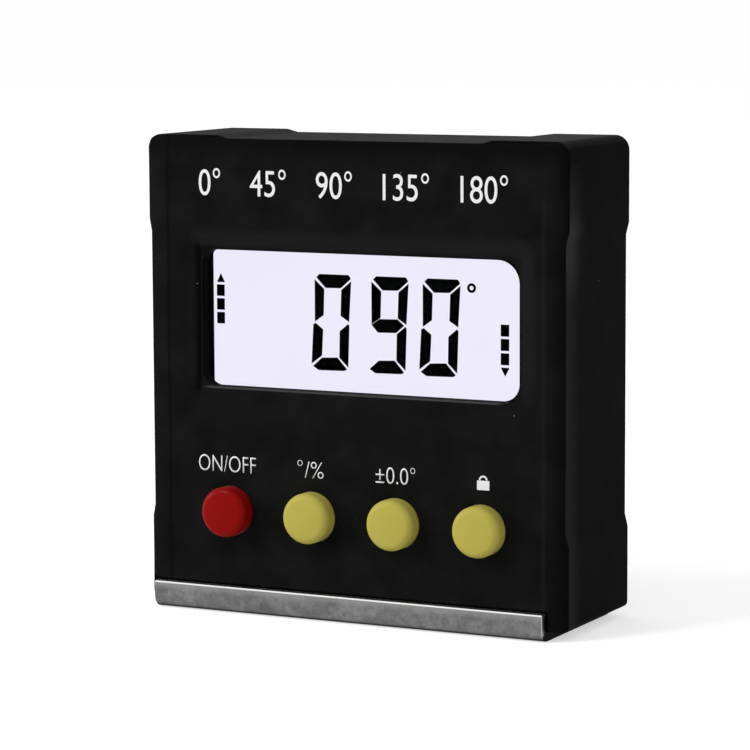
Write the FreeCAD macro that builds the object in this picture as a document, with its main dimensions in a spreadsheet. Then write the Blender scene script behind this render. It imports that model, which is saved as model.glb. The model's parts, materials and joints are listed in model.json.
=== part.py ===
import FreeCAD, Part
import math
import os
import sys

import Sketcher

# Mini digital inclinometer. +Z is up, the face with the display looks along -Y, +X is the viewer's right.
# The origin is on the flat underside of the steel base, below the middle of the case.

# Driving sizes, in millimetres unless a name says share or count
sizes = {
    # Case
    "body_width": 60.0,
    "body_height": 61.2,
    "body_depth": 20.0,
    "corner_radius": 1.9,
    "foot_radius": 0.8,
    "grip_recess": 0.4,
    "grip_slope": 1.6,
    "top_pad": 10.4,
    "upper_pad": 11.1,
    "lower_pad": 10.7,
    "border_width": 3.3,
    "border_drop": 0.8,
    "border_radius": 10.0,
    "front_wall": 1.8,
    "side_wall": 1.6,
    "cavity_radius": 1.6,
    "fit_gap": 0.1,
    "overrun": 1.0,
    # Steel base
    "base_left_end": 1.3,
    "base_right_end": 2.8,
    "base_sheet": 1.2,
    "base_rise": 3.6,
    "base_bend": 1.6,
    "magnet_radius": 4.5,
    "magnet_thick": 3.0,
    "magnet_pitch": 19.0,
    "magnet_wall": 1.3,
    "base_screw_pitch": 41.0,
    "floor_boss_rise": 3.8,
    # Rear cover and its screws
    "cover_thick": 1.6,
    "cover_ledge": 0.7,
    "boss_radius": 2.3,
    "boss_inset": 2.0,
    "screw_radius": 1.0,
    "screw_length": 7.0,
    "screw_head_radius": 1.9,
    "screw_head_sink": 0.1,
    "drive_width": 0.4,
    "drive_depth": 0.5,
    "thread_gap": 0.03,
    # Display opening
    "display_left_border": 7.7,
    "display_right_border": 6.8,
    "display_foot": 16.15,
    "display_head": 14.8,
    "opening_radius": 2.2,
    "bezel_width": 2.3,
    "bezel_drop": 0.86,
    "bezel_radius": 3.4,
    "window_depth": 2.85,
    "land_width": 2.7,
    "tape_thick": 0.1,
    "tape_width": 1.4,
    "window_thick": 0.8,
    "window_margin": 2.0,
    # Liquid crystal display and backlight
    "stack_gap": 0.05,
    "polarizer_thick": 0.15,
    "polarizer_inset": 0.3,
    "glass_thick": 0.5,
    "glass_margin": 1.2,
    "contact_ledge": 2.2,
    "guide_thick": 0.9,
    "reflector_thick": 0.1,
    "led_room": 1.6,
    "led_length": 1.2,
    "led_height": 2.6,
    "led_count": 3,
    "holder_wall": 1.0,
    "holder_gap": 0.15,
    "strip_width": 1.6,
    "strip_inset": 1.4,
    # Main board and its screws
    "board_thick": 0.8,
    "board_edge": 0.7,
    "board_boss_gap": 0.7,
    "post_radius": 1.8,
    "post_edge": 2.1,
    "lower_post_inset": 2.4,
    "upper_post_spread": 36.0,
    "board_screw_radius": 0.9,
    "board_screw_length": 3.6,
    "board_screw_head_radius": 1.6,
    "board_screw_head": 1.0,
    # Parts on the board, in the strip between the switches and the display
    "blob_share": 0.34,
    "blob_height": 1.2,
    "blob_slope": 0.9,
    "blob_right": -6.0,
    "crystal_share": 0.6,
    "crystal_radius": 1.0,
    "crystal_border": 13.8,
    "sensor_share": 0.36,
    "sensor_thick": 1.0,
    "sensor_right": 8.0,
    "chip_share": 0.19,
    "chip_width": 0.8,
    "chip_thick": 0.7,
    "chip_pitch": 2.0,
    "chip_count": 5,
    "chip_border": 5.5,
    # Buttons
    "button_foot": 12.25,
    "button_left_border": 12.15,
    "button_right_border": 11.7,
    "button_radius": 3.3,
    "button_proud": 2.4,
    "button_edge": 0.8,
    "button_gap": 0.15,
    "flange_width": 0.7,
    "button_travel": 0.3,
    "travel_spare": 0.1,
    "switch_side": 6.0,
    "switch_height": 3.0,
    "switch_cover_thick": 0.2,
    "switch_tab_width": 1.2,
    "stem_radius": 1.7,
    "stem_gap": 0.1,
    "stem_hidden": 0.4,
    # Battery bay and cells
    "bay_gap": 0.2,
    "bay_floor": 0.7,
    "bay_side_gap": 1.2,
    "bay_wall": 1.8,
    "bay_clear": 0.45,
    "cell_gap": 0.15,
    "cell_apart": 0.5,
    "nub_radius": 1.9,
    "nub_length": 0.8,
    "sleeve_thick": 0.1,
    "contact_thick": 0.3,
    "contact_inset": 1.25,
    "dimple_radius": 1.5,
    "dimple_rise": 0.7,
    "leaf_reach": 4.2,
    "leaf_width": 4.0,
    "leaf_tail": 0.8,
    "tab_width": 2.0,
    # Battery door
    "door_thick": 1.4,
    "door_overlap": 0.8,
    "door_gap": 0.15,
    "hook_width": 5.0,
    "hook_spread": 28.0,
    "hook_drop": 1.1,
    "hook_thick": 0.95,
    "hook_room": 0.5,
    "catch_width": 7.2,
    "catch_thick": 1.1,
    "catch_reach": 1.8,
    "nail_width": 9.0,
    "nail_height": 2.2,
    "nail_depth": 0.8,
    "rib_length": 14.0,
    "rib_width": 0.7,
    "rib_pitch": 1.5,
    "rib_depth": 0.4,
    "rib_count": 5,
}

document = FreeCAD.newDocument("inclinometer")
sheet = document.addObject("Spreadsheet::Sheet", "Sizes")
for row, (alias, value) in enumerate(sizes.items(), 1):
    sheet.set("A%d" % row, alias)
    sheet.set("B%d" % row, str(value))
    sheet.setAlias("B%d" % row, alias)
document.recompute()


class Length:
    """A size from the sheet, or a sum of sizes, with the expression that binds it."""

    def __init__(self, number, text):
        self.number = number
        self.text = text

    def joined(self, sign, other, number):
        return Length(number, "(%s %s %s)" % (self.text, sign, other.text))

    def __add__(self, other):
        other = as_length(other)
        return self.joined("+", other, self.number + other.number)

    def __sub__(self, other):
        other = as_length(other)
        return self.joined("-", other, self.number - other.number)

    def __mul__(self, other):
        other = as_length(other)
        return self.joined("*", other, self.number * other.number)

    def __truediv__(self, other):
        other = as_length(other)
        return self.joined("/", other, self.number / other.number)

    def __neg__(self):
        return Length(-self.number, "(-%s)" % self.text)


def as_length(value):
    return value if isinstance(value, Length) else Length(float(value), str(value))


class Sheet:
    """The sheet's cells by name."""

    def __getattr__(self, alias):
        return Length(float(sheet.get(alias)), "Sizes.%s" % alias)

    def count(self, alias):
        return int(sheet.get(alias))


size = Sheet()
zero = Length(0.0, "0")
button_names = ("power", "unit", "calibrate", "hold")

# Planes of the case, from front to rear
half_width = size.body_width / 2
front_plane = -(size.body_depth / 2)
rear_plane = size.body_depth / 2
case_floor = size.base_sheet
case_top = case_floor + size.body_height
panel_back = front_plane + size.front_wall
window_front = front_plane + size.window_depth
tape_front = window_front - size.tape_thick
window_back = window_front + size.window_thick
front_polarizer_front = window_back + size.stack_gap
front_glass_front = front_polarizer_front + size.polarizer_thick
rear_glass_front = front_glass_front + size.glass_thick
rear_polarizer_front = rear_glass_front + size.glass_thick
guide_front = rear_polarizer_front + size.polarizer_thick + size.stack_gap
reflector_front = guide_front + size.guide_thick
board_front = reflector_front + size.reflector_thick + size.stack_gap
board_back = board_front + size.board_thick
bay_front = board_back + size.bay_gap
bay_back = bay_front + size.bay_floor
cover_inside = rear_plane - size.cover_thick
door_inside = rear_plane - size.door_thick

# Sides of the cavity behind the front wall
cavity_half = half_width - size.grip_recess - size.side_wall
cavity_low = case_floor + size.side_wall
cavity_high = case_top - size.grip_recess - size.side_wall

# Button row and display opening
button_row = case_floor + size.button_foot
opening_left = size.display_left_border - half_width
opening_right = half_width - size.display_right_border
opening_low = button_row + size.display_foot
opening_high = case_top - size.display_head

# Board and screw places: cover screws in the four corners, board screws just inside the board's edges
corner_half = cavity_half - size.boss_inset
corner_heights = [cavity_low + size.boss_inset, cavity_high - size.boss_inset]
corner_places = [(side, height) for height in corner_heights for side in (-corner_half, corner_half)]
board_half = cavity_half - size.board_edge
board_low = corner_heights[0] + size.boss_radius + size.board_boss_gap
board_high = corner_heights[1] - size.boss_radius - size.board_boss_gap
lower_post_half = cavity_half - size.lower_post_inset
upper_post_half = size.upper_post_spread / 2
board_posts = [
    (-lower_post_half, board_low + size.post_edge),
    (lower_post_half, board_low + size.post_edge),
    (-upper_post_half, board_high - size.post_edge),
    (upper_post_half, board_high - size.post_edge),
]

# Cells as thick as the case has room for, one above the other in the middle of the board's height
cell_radius = (door_inside - bay_back) / 2 - size.cell_gap
cell_depth = bay_back + size.cell_gap + cell_radius
cell_half_pitch = cell_radius + size.cell_apart / 2
cells_middle = (board_low + board_high) / 2
cell_heights = [cells_middle + cell_half_pitch, cells_middle - cell_half_pitch]

# Battery bay, its contacts and the seat of its door
bay_half = cavity_half - size.bay_side_gap - size.bay_wall
bay_rise = cell_half_pitch + cell_radius + size.bay_clear
bay_low = cells_middle - bay_rise
bay_high = cells_middle + bay_rise
contact_face = bay_half - size.contact_thick
contact_half = cell_radius - size.contact_inset
cell_reach = contact_face - size.dimple_rise
cell_length = cell_reach + contact_face - size.leaf_reach
seat_half = bay_half + size.door_overlap + size.door_gap
seat_low = bay_low - size.door_overlap - size.door_gap
seat_high = bay_high + size.door_overlap + size.door_gap
door_low = seat_low + size.door_gap
door_high = seat_high - size.door_gap
door_half = seat_half - size.door_gap


def rectangle(x_low, x_high, y_low, y_high):
    """A closed path of four straight runs."""
    return [(x_low, y_low), (x_high, y_low), (x_high, y_high), (x_low, y_high)]


def rounded_rectangle(x_low, x_high, y_low, y_high, bend):
    """A closed path, anticlockwise, where a third entry is the radius of the arc that follows the point."""
    return [
        (x_low + bend, y_low),
        (x_high - bend, y_low, bend),
        (x_high, y_low + bend),
        (x_high, y_high - bend, bend),
        (x_high - bend, y_high),
        (x_low + bend, y_high, bend),
        (x_low, y_high - bend),
        (x_low, y_low + bend, bend),
    ]


def display_rectangle(margin, bend=None):
    """The display opening grown on all sides by a margin."""
    limits = (opening_left - margin, opening_right + margin, opening_low - margin, opening_high + margin)
    if bend is None:
        return rectangle(*limits)
    return rounded_rectangle(*limits, bend)


def case_outline():
    """Rounded square whose sides and top are recessed between raised corner lengths."""
    bend = size.corner_radius
    foot = size.foot_radius
    recessed = half_width - size.grip_recess
    recessed_top = case_top - size.grip_recess
    low_end = case_floor + size.lower_pad
    high_end = case_top - size.upper_pad
    top_end = half_width - size.top_pad
    right = [
        (half_width - foot, case_floor, foot),
        (half_width, case_floor + foot),
        (half_width, low_end),
        (recessed, low_end + size.grip_slope),
        (recessed, high_end - size.grip_slope),
        (half_width, high_end),
        (half_width, case_top - bend, bend),
        (half_width - bend, case_top),
        (top_end, case_top),
        (top_end - size.grip_slope, recessed_top),
    ]
    left = []
    for corner, previous in zip(right, [()] + right):
        left.insert(0, (-corner[0], corner[1], *previous[2:]))
    return right + left


def arc_through(start, end, radius):
    """An anticlockwise arc from start to end; a negative radius bends it the other way."""
    chord = end - start
    middle = start + chord / 2
    outward = FreeCAD.Vector(chord.y, -chord.x, 0).normalize()
    reach = abs(radius)
    sagitta = reach - math.sqrt(max(reach ** 2 - (chord.Length / 2) ** 2, 0.0))
    if radius > 0:
        return Part.Arc(start, middle + outward * sagitta, end)
    return Part.Arc(end, middle - outward * sagitta, start)


def bound(sketch, kind, *where):
    """Add a sized constraint and bind it to its expression."""
    length = where[-1]
    index = sketch.addConstraint(Sketcher.Constraint(kind, *where[:-1], length.number))
    sketch.setExpression("Constraints[%d]" % index, length.text)


def trace(sketch, path):
    """Draw a closed path of lines and arcs in a sketch, with every corner held by its two distances."""
    first = sketch.GeometryCount
    ends = []
    for index, corner in enumerate(path):
        following = path[(index + 1) % len(path)]
        start = FreeCAD.Vector(corner[0].number, corner[1].number, 0)
        end = FreeCAD.Vector(following[0].number, following[1].number, 0)
        if len(corner) == 2:
            sketch.addGeometry(Part.LineSegment(start, end), False)
            ends.append((1, 2))
        else:
            sketch.addGeometry(arc_through(start, end, corner[2].number), False)
            ends.append((1, 2) if corner[2].number > 0 else (2, 1))
    for index, corner in enumerate(path):
        edge = first + index
        following = (index + 1) % len(path)
        start_point, end_point = ends[index]
        bound(sketch, "DistanceX", -1, 1, edge, start_point, corner[0])
        bound(sketch, "DistanceY", -1, 1, edge, start_point, corner[1])
        sketch.addConstraint(
            Sketcher.Constraint("Coincident", edge, end_point, first + following, ends[following][0])
        )
        if len(corner) == 3:
            radius = corner[2] if corner[2].number > 0 else -corner[2]
            bound(sketch, "Radius", edge, radius)


def disc(x, y, radius):
    """A circle, told from a path by its word."""
    return ("circle", x, y, radius)


def draw(sketch, loops):
    for loop in loops:
        if loop[0] != "circle":
            trace(sketch, loop)
            continue
        x, y, radius = loop[1:]
        place = FreeCAD.Vector(x.number, y.number, 0)
        circle = Part.Circle(place, FreeCAD.Vector(0, 0, 1), radius.number)
        edge = sketch.addGeometry(circle, False)
        bound(sketch, "DistanceX", -1, 1, edge, 3, x)
        bound(sketch, "DistanceY", -1, 1, edge, 3, y)
        bound(sketch, "Radius", edge, radius)


def new_body(label):
    body = document.addObject("PartDesign::Body", label)
    body.Label = label
    return body


def sketch_on(body, plane, offset, loops):
    """A sketch on one of the body's own origin planes, moved along that plane's normal."""
    sketch = body.newObject("Sketcher::SketchObject", "Sketch")
    origin = [feature for feature in body.Origin.OriginFeatures if feature.Role == plane + "_Plane"][0]
    sketch.AttachmentSupport = [(origin, "")]
    sketch.MapMode = "FlatFace"
    sketch.setExpression("AttachmentOffset.Base.z", offset.text)
    draw(sketch, loops)
    return sketch


def add(body, plane, low, high, *loops):
    """Pad the loops between two places along the axis that the plane faces. XZ faces -Y."""
    offset = -high if plane == "XZ" else low
    feature = body.newObject("PartDesign::Pad", "Pad")
    feature.Profile = sketch_on(body, plane, offset, loops)
    feature.setExpression("Length", (high - low).text)
    return feature


def cut(body, plane, low, high, *loops):
    """Pocket the loops between two places along the axis that the plane faces. XZ faces -Y."""
    offset = -low if plane == "XZ" else high
    feature = body.newObject("PartDesign::Pocket", "Pocket")
    feature.Profile = sketch_on(body, plane, offset, loops)
    feature.setExpression("Length", (high - low).text)
    return feature


def turn(body, path, axis="Y_Axis"):
    """Revolve a half section drawn on the XY plane about one of the body's own axes."""
    feature = body.newObject("PartDesign::Revolution", "Revolution")
    feature.Profile = sketch_on(body, "XY", zero, [path])
    line = [item for item in body.Origin.OriginFeatures if item.Role == axis][0]
    feature.ReferenceAxis = (line, [""])
    feature.Angle = 360
    return feature


def place(item, x=zero, y=zero, z=zero):
    """Bind an object's place to the sheet."""
    item.setExpression("Placement.Base.x", x.text)
    item.setExpression("Placement.Base.y", y.text)
    item.setExpression("Placement.Base.z", z.text)
    return item


def block(label, x_range, y_range, z_range):
    """A plain box between bound limits."""
    item = document.addObject("Part::Box", label)
    item.Label = label
    item.setExpression("Length", (x_range[1] - x_range[0]).text)
    item.setExpression("Width", (y_range[1] - y_range[0]).text)
    item.setExpression("Height", (z_range[1] - z_range[0]).text)
    return place(item, x_range[0], y_range[0], z_range[0])


def display_block(label, margin, y_low, y_high, ledge=zero):
    """A plate behind the display opening, grown by a margin, and by a ledge at its lower edge."""
    x_range = (opening_left - margin, opening_right + margin)
    z_range = (opening_low - margin - ledge, opening_high + margin)
    return block(label, x_range, (y_low, y_high), z_range)


def side_border(side):
    """The region that a rounded border takes off the front, at the side or the top."""
    inner = side - size.border_width
    outside = side + size.overrun
    edge_plane = front_plane + size.border_drop
    ahead = front_plane - size.overrun
    return [
        (inner, front_plane, size.border_radius),
        (side, edge_plane),
        (outside, edge_plane),
        (outside, ahead),
        (inner, ahead),
    ]


def mirrored(path):
    """The same path on the other side of the middle plane, with its arcs bent the other way."""
    return [(-corner[0], *corner[1:2], *[-bend for bend in corner[2:]]) for corner in path]


def turned_over(path):
    """The same path with its two directions exchanged, for a sketch on the YZ plane."""
    return [(corner[1], corner[0], *[-bend for bend in corner[2:]]) for corner in path]


def make_front_housing():
    body = new_body("front_housing")
    add(body, "XZ", front_plane, rear_plane, case_outline())
    side = side_border(half_width)
    cut(body, "XY", case_floor - size.overrun, case_top + size.overrun, side, mirrored(side))
    limit = half_width + size.overrun
    cut(body, "YZ", -limit, limit, turned_over(side_border(case_top)))
    inside = rounded_rectangle(-cavity_half, cavity_half, cavity_low, cavity_high, size.cavity_radius)
    cut(body, "XZ", panel_back, rear_plane + size.overrun, inside)
    relief = size.base_bend - size.base_sheet + size.fit_gap
    for edge, inward in ((front_plane, front_plane + relief), (rear_plane, rear_plane - relief)):
        corner = [(edge, case_floor), (inward, case_floor), (edge, case_floor + relief)]
        cut(body, "YZ", -limit, limit, corner)
    ledge = size.cover_ledge
    seat = rounded_rectangle(
        -(cavity_half + ledge), cavity_half + ledge,
        cavity_low - ledge, cavity_high + ledge, size.cavity_radius + ledge,
    )
    cut(body, "XZ", cover_inside, rear_plane + size.overrun, seat)

    # Land for the window, posts and bosses
    add(body, "XZ", panel_back - size.tape_thick, tape_front, display_rectangle(size.land_width))
    add(body, "XZ", panel_back - size.tape_thick, cover_inside,
        *[disc(x, z, size.boss_radius) for x, z in corner_places])
    add(body, "XZ", panel_back - size.tape_thick, board_front,
        *[disc(x, z, size.post_radius) for x, z in board_posts])
    screw_half = size.base_screw_pitch / 2
    magnet_half = size.magnet_pitch / 2
    magnet_top = size.screw_head_sink + size.magnet_thick
    add(body, "XY", case_floor, case_floor + size.side_wall + size.floor_boss_rise,
        *[disc(x, zero, size.boss_radius) for x in (-screw_half, screw_half)])
    add(body, "XY", case_floor, magnet_top + size.magnet_wall,
        *[disc(x, zero, size.magnet_radius + size.magnet_wall) for x in (-magnet_half, magnet_half)])

    # Display opening with its sloped surround
    bezel = body.newObject("PartDesign::SubtractiveLoft", "BezelSlope")
    outer = display_rectangle(size.bezel_width, size.bezel_radius)
    bezel.Profile = sketch_on(body, "XZ", -front_plane, [outer])
    inner = display_rectangle(zero, size.opening_radius)
    bezel.Sections = [sketch_on(body, "XZ", -(front_plane + size.bezel_drop), [inner])]
    bezel.Ruled = True
    cut(body, "XZ", front_plane, tape_front + size.overrun, inner)

    # Button holes, then pilot holes and magnet pockets
    hole = size.button_radius + size.button_gap
    cut(body, "XZ", front_plane - size.overrun, panel_back + size.overrun,
        *[disc(x, button_row, hole) for x in button_places()])
    pilot = size.screw_radius + size.thread_gap
    cut(body, "XZ", rear_plane - size.screw_length - size.overrun, cover_inside + size.overrun,
        *[disc(x, z, pilot) for x, z in corner_places])
    cut(body, "XZ", board_back - size.board_screw_length - size.stack_gap, board_front + size.overrun,
        *[disc(x, z, size.board_screw_radius + size.thread_gap) for x, z in board_posts])
    cut(body, "XY", zero, case_floor + size.side_wall + size.floor_boss_rise - size.stack_gap,
        *[disc(x, zero, pilot) for x in (-screw_half, screw_half)])
    cut(body, "XY", zero, magnet_top + size.stack_gap,
        *[disc(x, zero, size.magnet_radius + size.fit_gap) for x in (-magnet_half, magnet_half)])


def button_places():
    """The buttons from left to right, evenly spaced in their row."""
    first = size.button_left_border - half_width
    last = half_width - size.button_right_border
    pitch = (last - first) / (len(button_names) - 1)
    return [first + pitch * index for index in range(len(button_names))]


def make_rear_cover():
    body = new_body("rear_cover")
    reach = size.cover_ledge - size.fit_gap
    plate = rounded_rectangle(
        -(cavity_half + reach), cavity_half + reach,
        cavity_low - reach, cavity_high + reach, size.cavity_radius + reach,
    )
    add(body, "XZ", cover_inside, rear_plane, plate)
    outer = bay_half + size.bay_wall
    tub = rectangle(-outer, outer, bay_low - size.bay_wall, bay_high + size.bay_wall)
    add(body, "XZ", bay_front, cover_inside, tub)
    cut(body, "XZ", bay_back, rear_plane + size.overrun, rectangle(-bay_half, bay_half, bay_low, bay_high))
    seat = rectangle(-seat_half, seat_half, seat_low, seat_high)
    cut(body, "XZ", door_inside, rear_plane + size.overrun, seat)

    # Slots under the edge for the door's hooks, open to the seat where the hooks swing
    low = door_low - size.hook_drop - size.hook_room
    for middle in hook_places():
        half = size.hook_width / 2 + size.hook_room
        slot = rectangle(middle - half, middle + half, low, bay_low + size.overrun)
        cut(body, "XZ", hook_front() - size.hook_room, cover_inside, slot)
        notch = rectangle(middle - half, middle + half, seat_low, bay_low + size.overrun)
        cut(body, "XZ", cover_inside - size.overrun, door_inside + size.overrun, notch)

    # Groove for a fingernail above the door
    nail_half = size.nail_width / 2
    nail = rectangle(-nail_half, nail_half, seat_high - size.fit_gap, seat_high + size.nail_height)
    cut(body, "XZ", rear_plane - size.nail_depth, rear_plane + size.overrun, nail)

    # Slots for the two contact tabs that reach the board
    for height in cell_heights:
        half = size.tab_width / 2 + size.fit_gap
        slot = rectangle(contact_face - size.fit_gap, bay_half + size.fit_gap, height - half, height + half)
        cut(body, "XZ", bay_front - size.overrun, bay_back + size.overrun, slot)

    # Screw holes with countersinks
    for x, z in corner_places:
        cut(body, "XZ", cover_inside - size.overrun, rear_plane + size.overrun,
            disc(x, z, size.screw_radius + size.fit_gap))
        sink = body.newObject("PartDesign::SubtractiveLoft", "Countersink")
        head = size.screw_head_radius + size.fit_gap
        sink.Profile = sketch_on(body, "XZ", -rear_plane, [disc(x, z, head)])
        narrow = rear_plane - size.screw_head_sink - (size.screw_head_radius - size.screw_radius)
        sink.Sections = [sketch_on(body, "XZ", -narrow, [disc(x, z, size.screw_radius + size.fit_gap)])]
        sink.Ruled = True


def hook_places():
    return (-(size.hook_spread / 2), size.hook_spread / 2)


def hook_front():
    """The face of the door's hooks that lies deepest in the case."""
    return cover_inside - size.door_gap - size.hook_thick


def make_battery_door():
    """A snap door that tilts about its lower edge on two hooks."""
    body = new_body("battery_door")
    add(body, "XZ", door_inside, rear_plane, rectangle(-door_half, door_half, door_low, door_high))
    for middle in hook_places():
        half = size.hook_width / 2
        root = rectangle(middle - half, middle + half, bay_low, bay_low + size.hook_thick)
        add(body, "XZ", hook_front(), door_inside, root)
        low = door_low - size.hook_drop
        hook = rectangle(middle - half, middle + half, low, bay_low + size.hook_thick)
        add(body, "XZ", hook_front(), hook_front() + size.hook_thick, hook)
    catch_half = size.catch_width / 2
    catch_high = bay_high - size.door_gap * 2
    catch = rectangle(-catch_half, catch_half, catch_high - size.catch_thick, catch_high)
    add(body, "XZ", door_inside - size.catch_reach, door_inside, catch)

    # Grip grooves below the upper edge
    rib_half = size.rib_length / 2
    loops = []
    for index in range(size.count("rib_count")):
        low = door_high - size.rib_pitch * (index + 1) - size.rib_width
        loops.append(rectangle(-rib_half, rib_half, low, low + size.rib_width))
    cut(body, "XZ", rear_plane - size.rib_depth, rear_plane + size.overrun, *loops)


def make_base_channel():
    """Folded steel channel: the flat underside with a low flange front and rear."""
    body = new_body("base_channel")
    outer = size.body_depth / 2 + size.base_sheet
    inner = size.body_depth / 2
    bend = size.base_bend
    small = size.base_bend - size.base_sheet
    section = [
        (-outer + bend, zero),
        (outer - bend, zero, bend),
        (outer, bend),
        (outer, size.base_rise),
        (inner, size.base_rise),
        (inner, size.base_sheet + small, -small),
        (inner - small, size.base_sheet),
        (-inner + small, size.base_sheet, -small),
        (-inner, size.base_sheet + small),
        (-inner, size.base_rise),
        (-outer, size.base_rise),
        (-outer, bend, bend),
    ]
    left_end = size.base_left_end - half_width
    right_end = half_width - size.base_right_end
    add(body, "YZ", left_end, right_end, section)
    magnet_half = size.magnet_pitch / 2
    cut(body, "XY", -size.overrun, size.base_sheet + size.overrun,
        *[disc(x, zero, size.magnet_radius + size.fit_gap) for x in (-magnet_half, magnet_half)])
    screw_half = size.base_screw_pitch / 2
    for x in (-screw_half, screw_half):
        cut(body, "XY", -size.overrun, size.base_sheet + size.overrun,
            disc(x, zero, size.screw_radius + size.fit_gap))
        sink = body.newObject("PartDesign::SubtractiveLoft", "Countersink")
        head = size.screw_head_radius + size.fit_gap
        sink.Profile = sketch_on(body, "XY", zero, [disc(x, zero, head)])
        narrow = size.screw_head_sink + (size.screw_head_radius - size.screw_radius)
        sink.Sections = [sketch_on(body, "XY", narrow, [disc(x, zero, size.screw_radius + size.fit_gap)])]
        sink.Ruled = True


def make_display():
    """Window, its adhesive frame, the glass stack, the backlight and the frame that holds them."""
    tape = new_body("window_tape")
    add(tape, "XZ", tape_front, window_front, display_rectangle(size.window_margin))
    cut(tape, "XZ", tape_front - size.overrun, window_front + size.overrun,
        display_rectangle(size.window_margin - size.tape_width))
    display_block("display_window", size.window_margin, window_front, window_back)
    inset = size.glass_margin - size.polarizer_inset
    display_block("lcd_front_polarizer", inset, front_polarizer_front, front_glass_front)
    display_block("lcd_front_glass", size.glass_margin, front_glass_front, rear_glass_front,
                  size.contact_ledge)
    display_block("lcd_rear_glass", size.glass_margin, rear_glass_front, rear_polarizer_front)
    display_block("lcd_rear_polarizer", inset, rear_polarizer_front,
                  rear_polarizer_front + size.polarizer_thick)

    # Light guide, its reflector and the lamps beside it
    left = opening_left - size.glass_margin
    low = opening_low - size.glass_margin
    guide_x = (left + size.led_room, opening_right + size.glass_margin)
    guide_z = (low + size.polarizer_inset, opening_high + size.glass_margin)
    block("backlight_guide", guide_x, (guide_front, reflector_front), guide_z)
    block("backlight_reflector", guide_x, (reflector_front, reflector_front + size.reflector_thick), guide_z)
    lamps = []
    count = size.count("led_count")
    pitch = (guide_z[1] - guide_z[0]) / count
    start = left + size.led_room - size.stack_gap - size.led_length
    lamp_x = (start, start + size.led_length)
    for index in range(count):
        middle = guide_z[0] + pitch / 2 + pitch * index
        lamp_z = (middle - size.led_height / 2, middle + size.led_height / 2)
        lamps.append(block("lamp_%d" % (index + 1), lamp_x, (guide_front, board_front), lamp_z))
    group("backlight_leds", lamps)

    holder = new_body("lcd_holder")
    gap = size.glass_margin + size.holder_gap
    x_low = opening_left - gap
    x_high = opening_right + gap
    z_high = opening_high + gap
    wall = size.holder_wall
    around = rectangle(x_low - wall, x_high + wall, holder_low(), z_high + wall)
    add(holder, "XZ", front_polarizer_front, board_front, around)
    cut(holder, "XZ", front_polarizer_front - size.overrun, board_front + size.overrun,
        rectangle(x_low, x_high, holder_low() + wall, z_high))

    strip_low = low - size.contact_ledge + size.polarizer_inset
    block("elastomer_strip", (opening_left + size.strip_inset, opening_right - size.strip_inset),
          (rear_glass_front, board_front), (strip_low, strip_low + size.strip_width))


def holder_low():
    """The lower edge of the display's holder."""
    return opening_low - size.glass_margin - size.holder_gap - size.contact_ledge - size.holder_wall


def group(label, items):
    """Several separate solids under one label."""
    compound = document.addObject("Part::Compound", label)
    compound.Label = label
    compound.Links = items
    return compound


def make_main_board():
    body = new_body("main_board")
    add(body, "XZ", board_front, board_back, rectangle(-board_half, board_half, board_low, board_high))
    cut(body, "XZ", board_front - size.overrun, board_back + size.overrun,
        *[disc(x, z, size.board_screw_radius + size.fit_gap) for x, z in board_posts])


def make_board_parts():
    """Controller under its resin, tilt sensor, crystal and chip capacitors on the board's front face."""
    low = button_row + size.switch_side / 2 + size.switch_cover_thick
    strip = holder_low() - low
    middle = low + strip / 2

    blob = new_body("processor_blob")
    radius = strip * size.blob_share
    top = -size.blob_height
    turn(blob, [(zero, top), (radius - size.blob_slope, top), (radius, zero), (zero, zero)])
    place(blob, size.blob_right, board_front, middle)

    half = strip * size.sensor_share / 2
    block("tilt_sensor", (size.sensor_right - half, size.sensor_right + half),
          (board_front - size.sensor_thick, board_front), (middle - half, middle + half))

    crystal = new_body("crystal")
    half = strip * size.crystal_share / 2
    left = size.crystal_border - board_half
    can = disc(left, board_front - size.crystal_radius, size.crystal_radius)
    add(crystal, "XY", middle - half, middle + half, can)

    chips = []
    half = strip * size.chip_share / 2
    chip_y = (board_front - size.chip_thick, board_front)
    for index in range(size.count("chip_count")):
        right = board_half - size.chip_border - size.chip_pitch * index
        chip_x = (right - size.chip_width, right)
        chips.append(block("chip_%d" % (index + 1), chip_x, chip_y, (middle - half, middle + half)))
    group("board_capacitors", chips)


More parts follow.
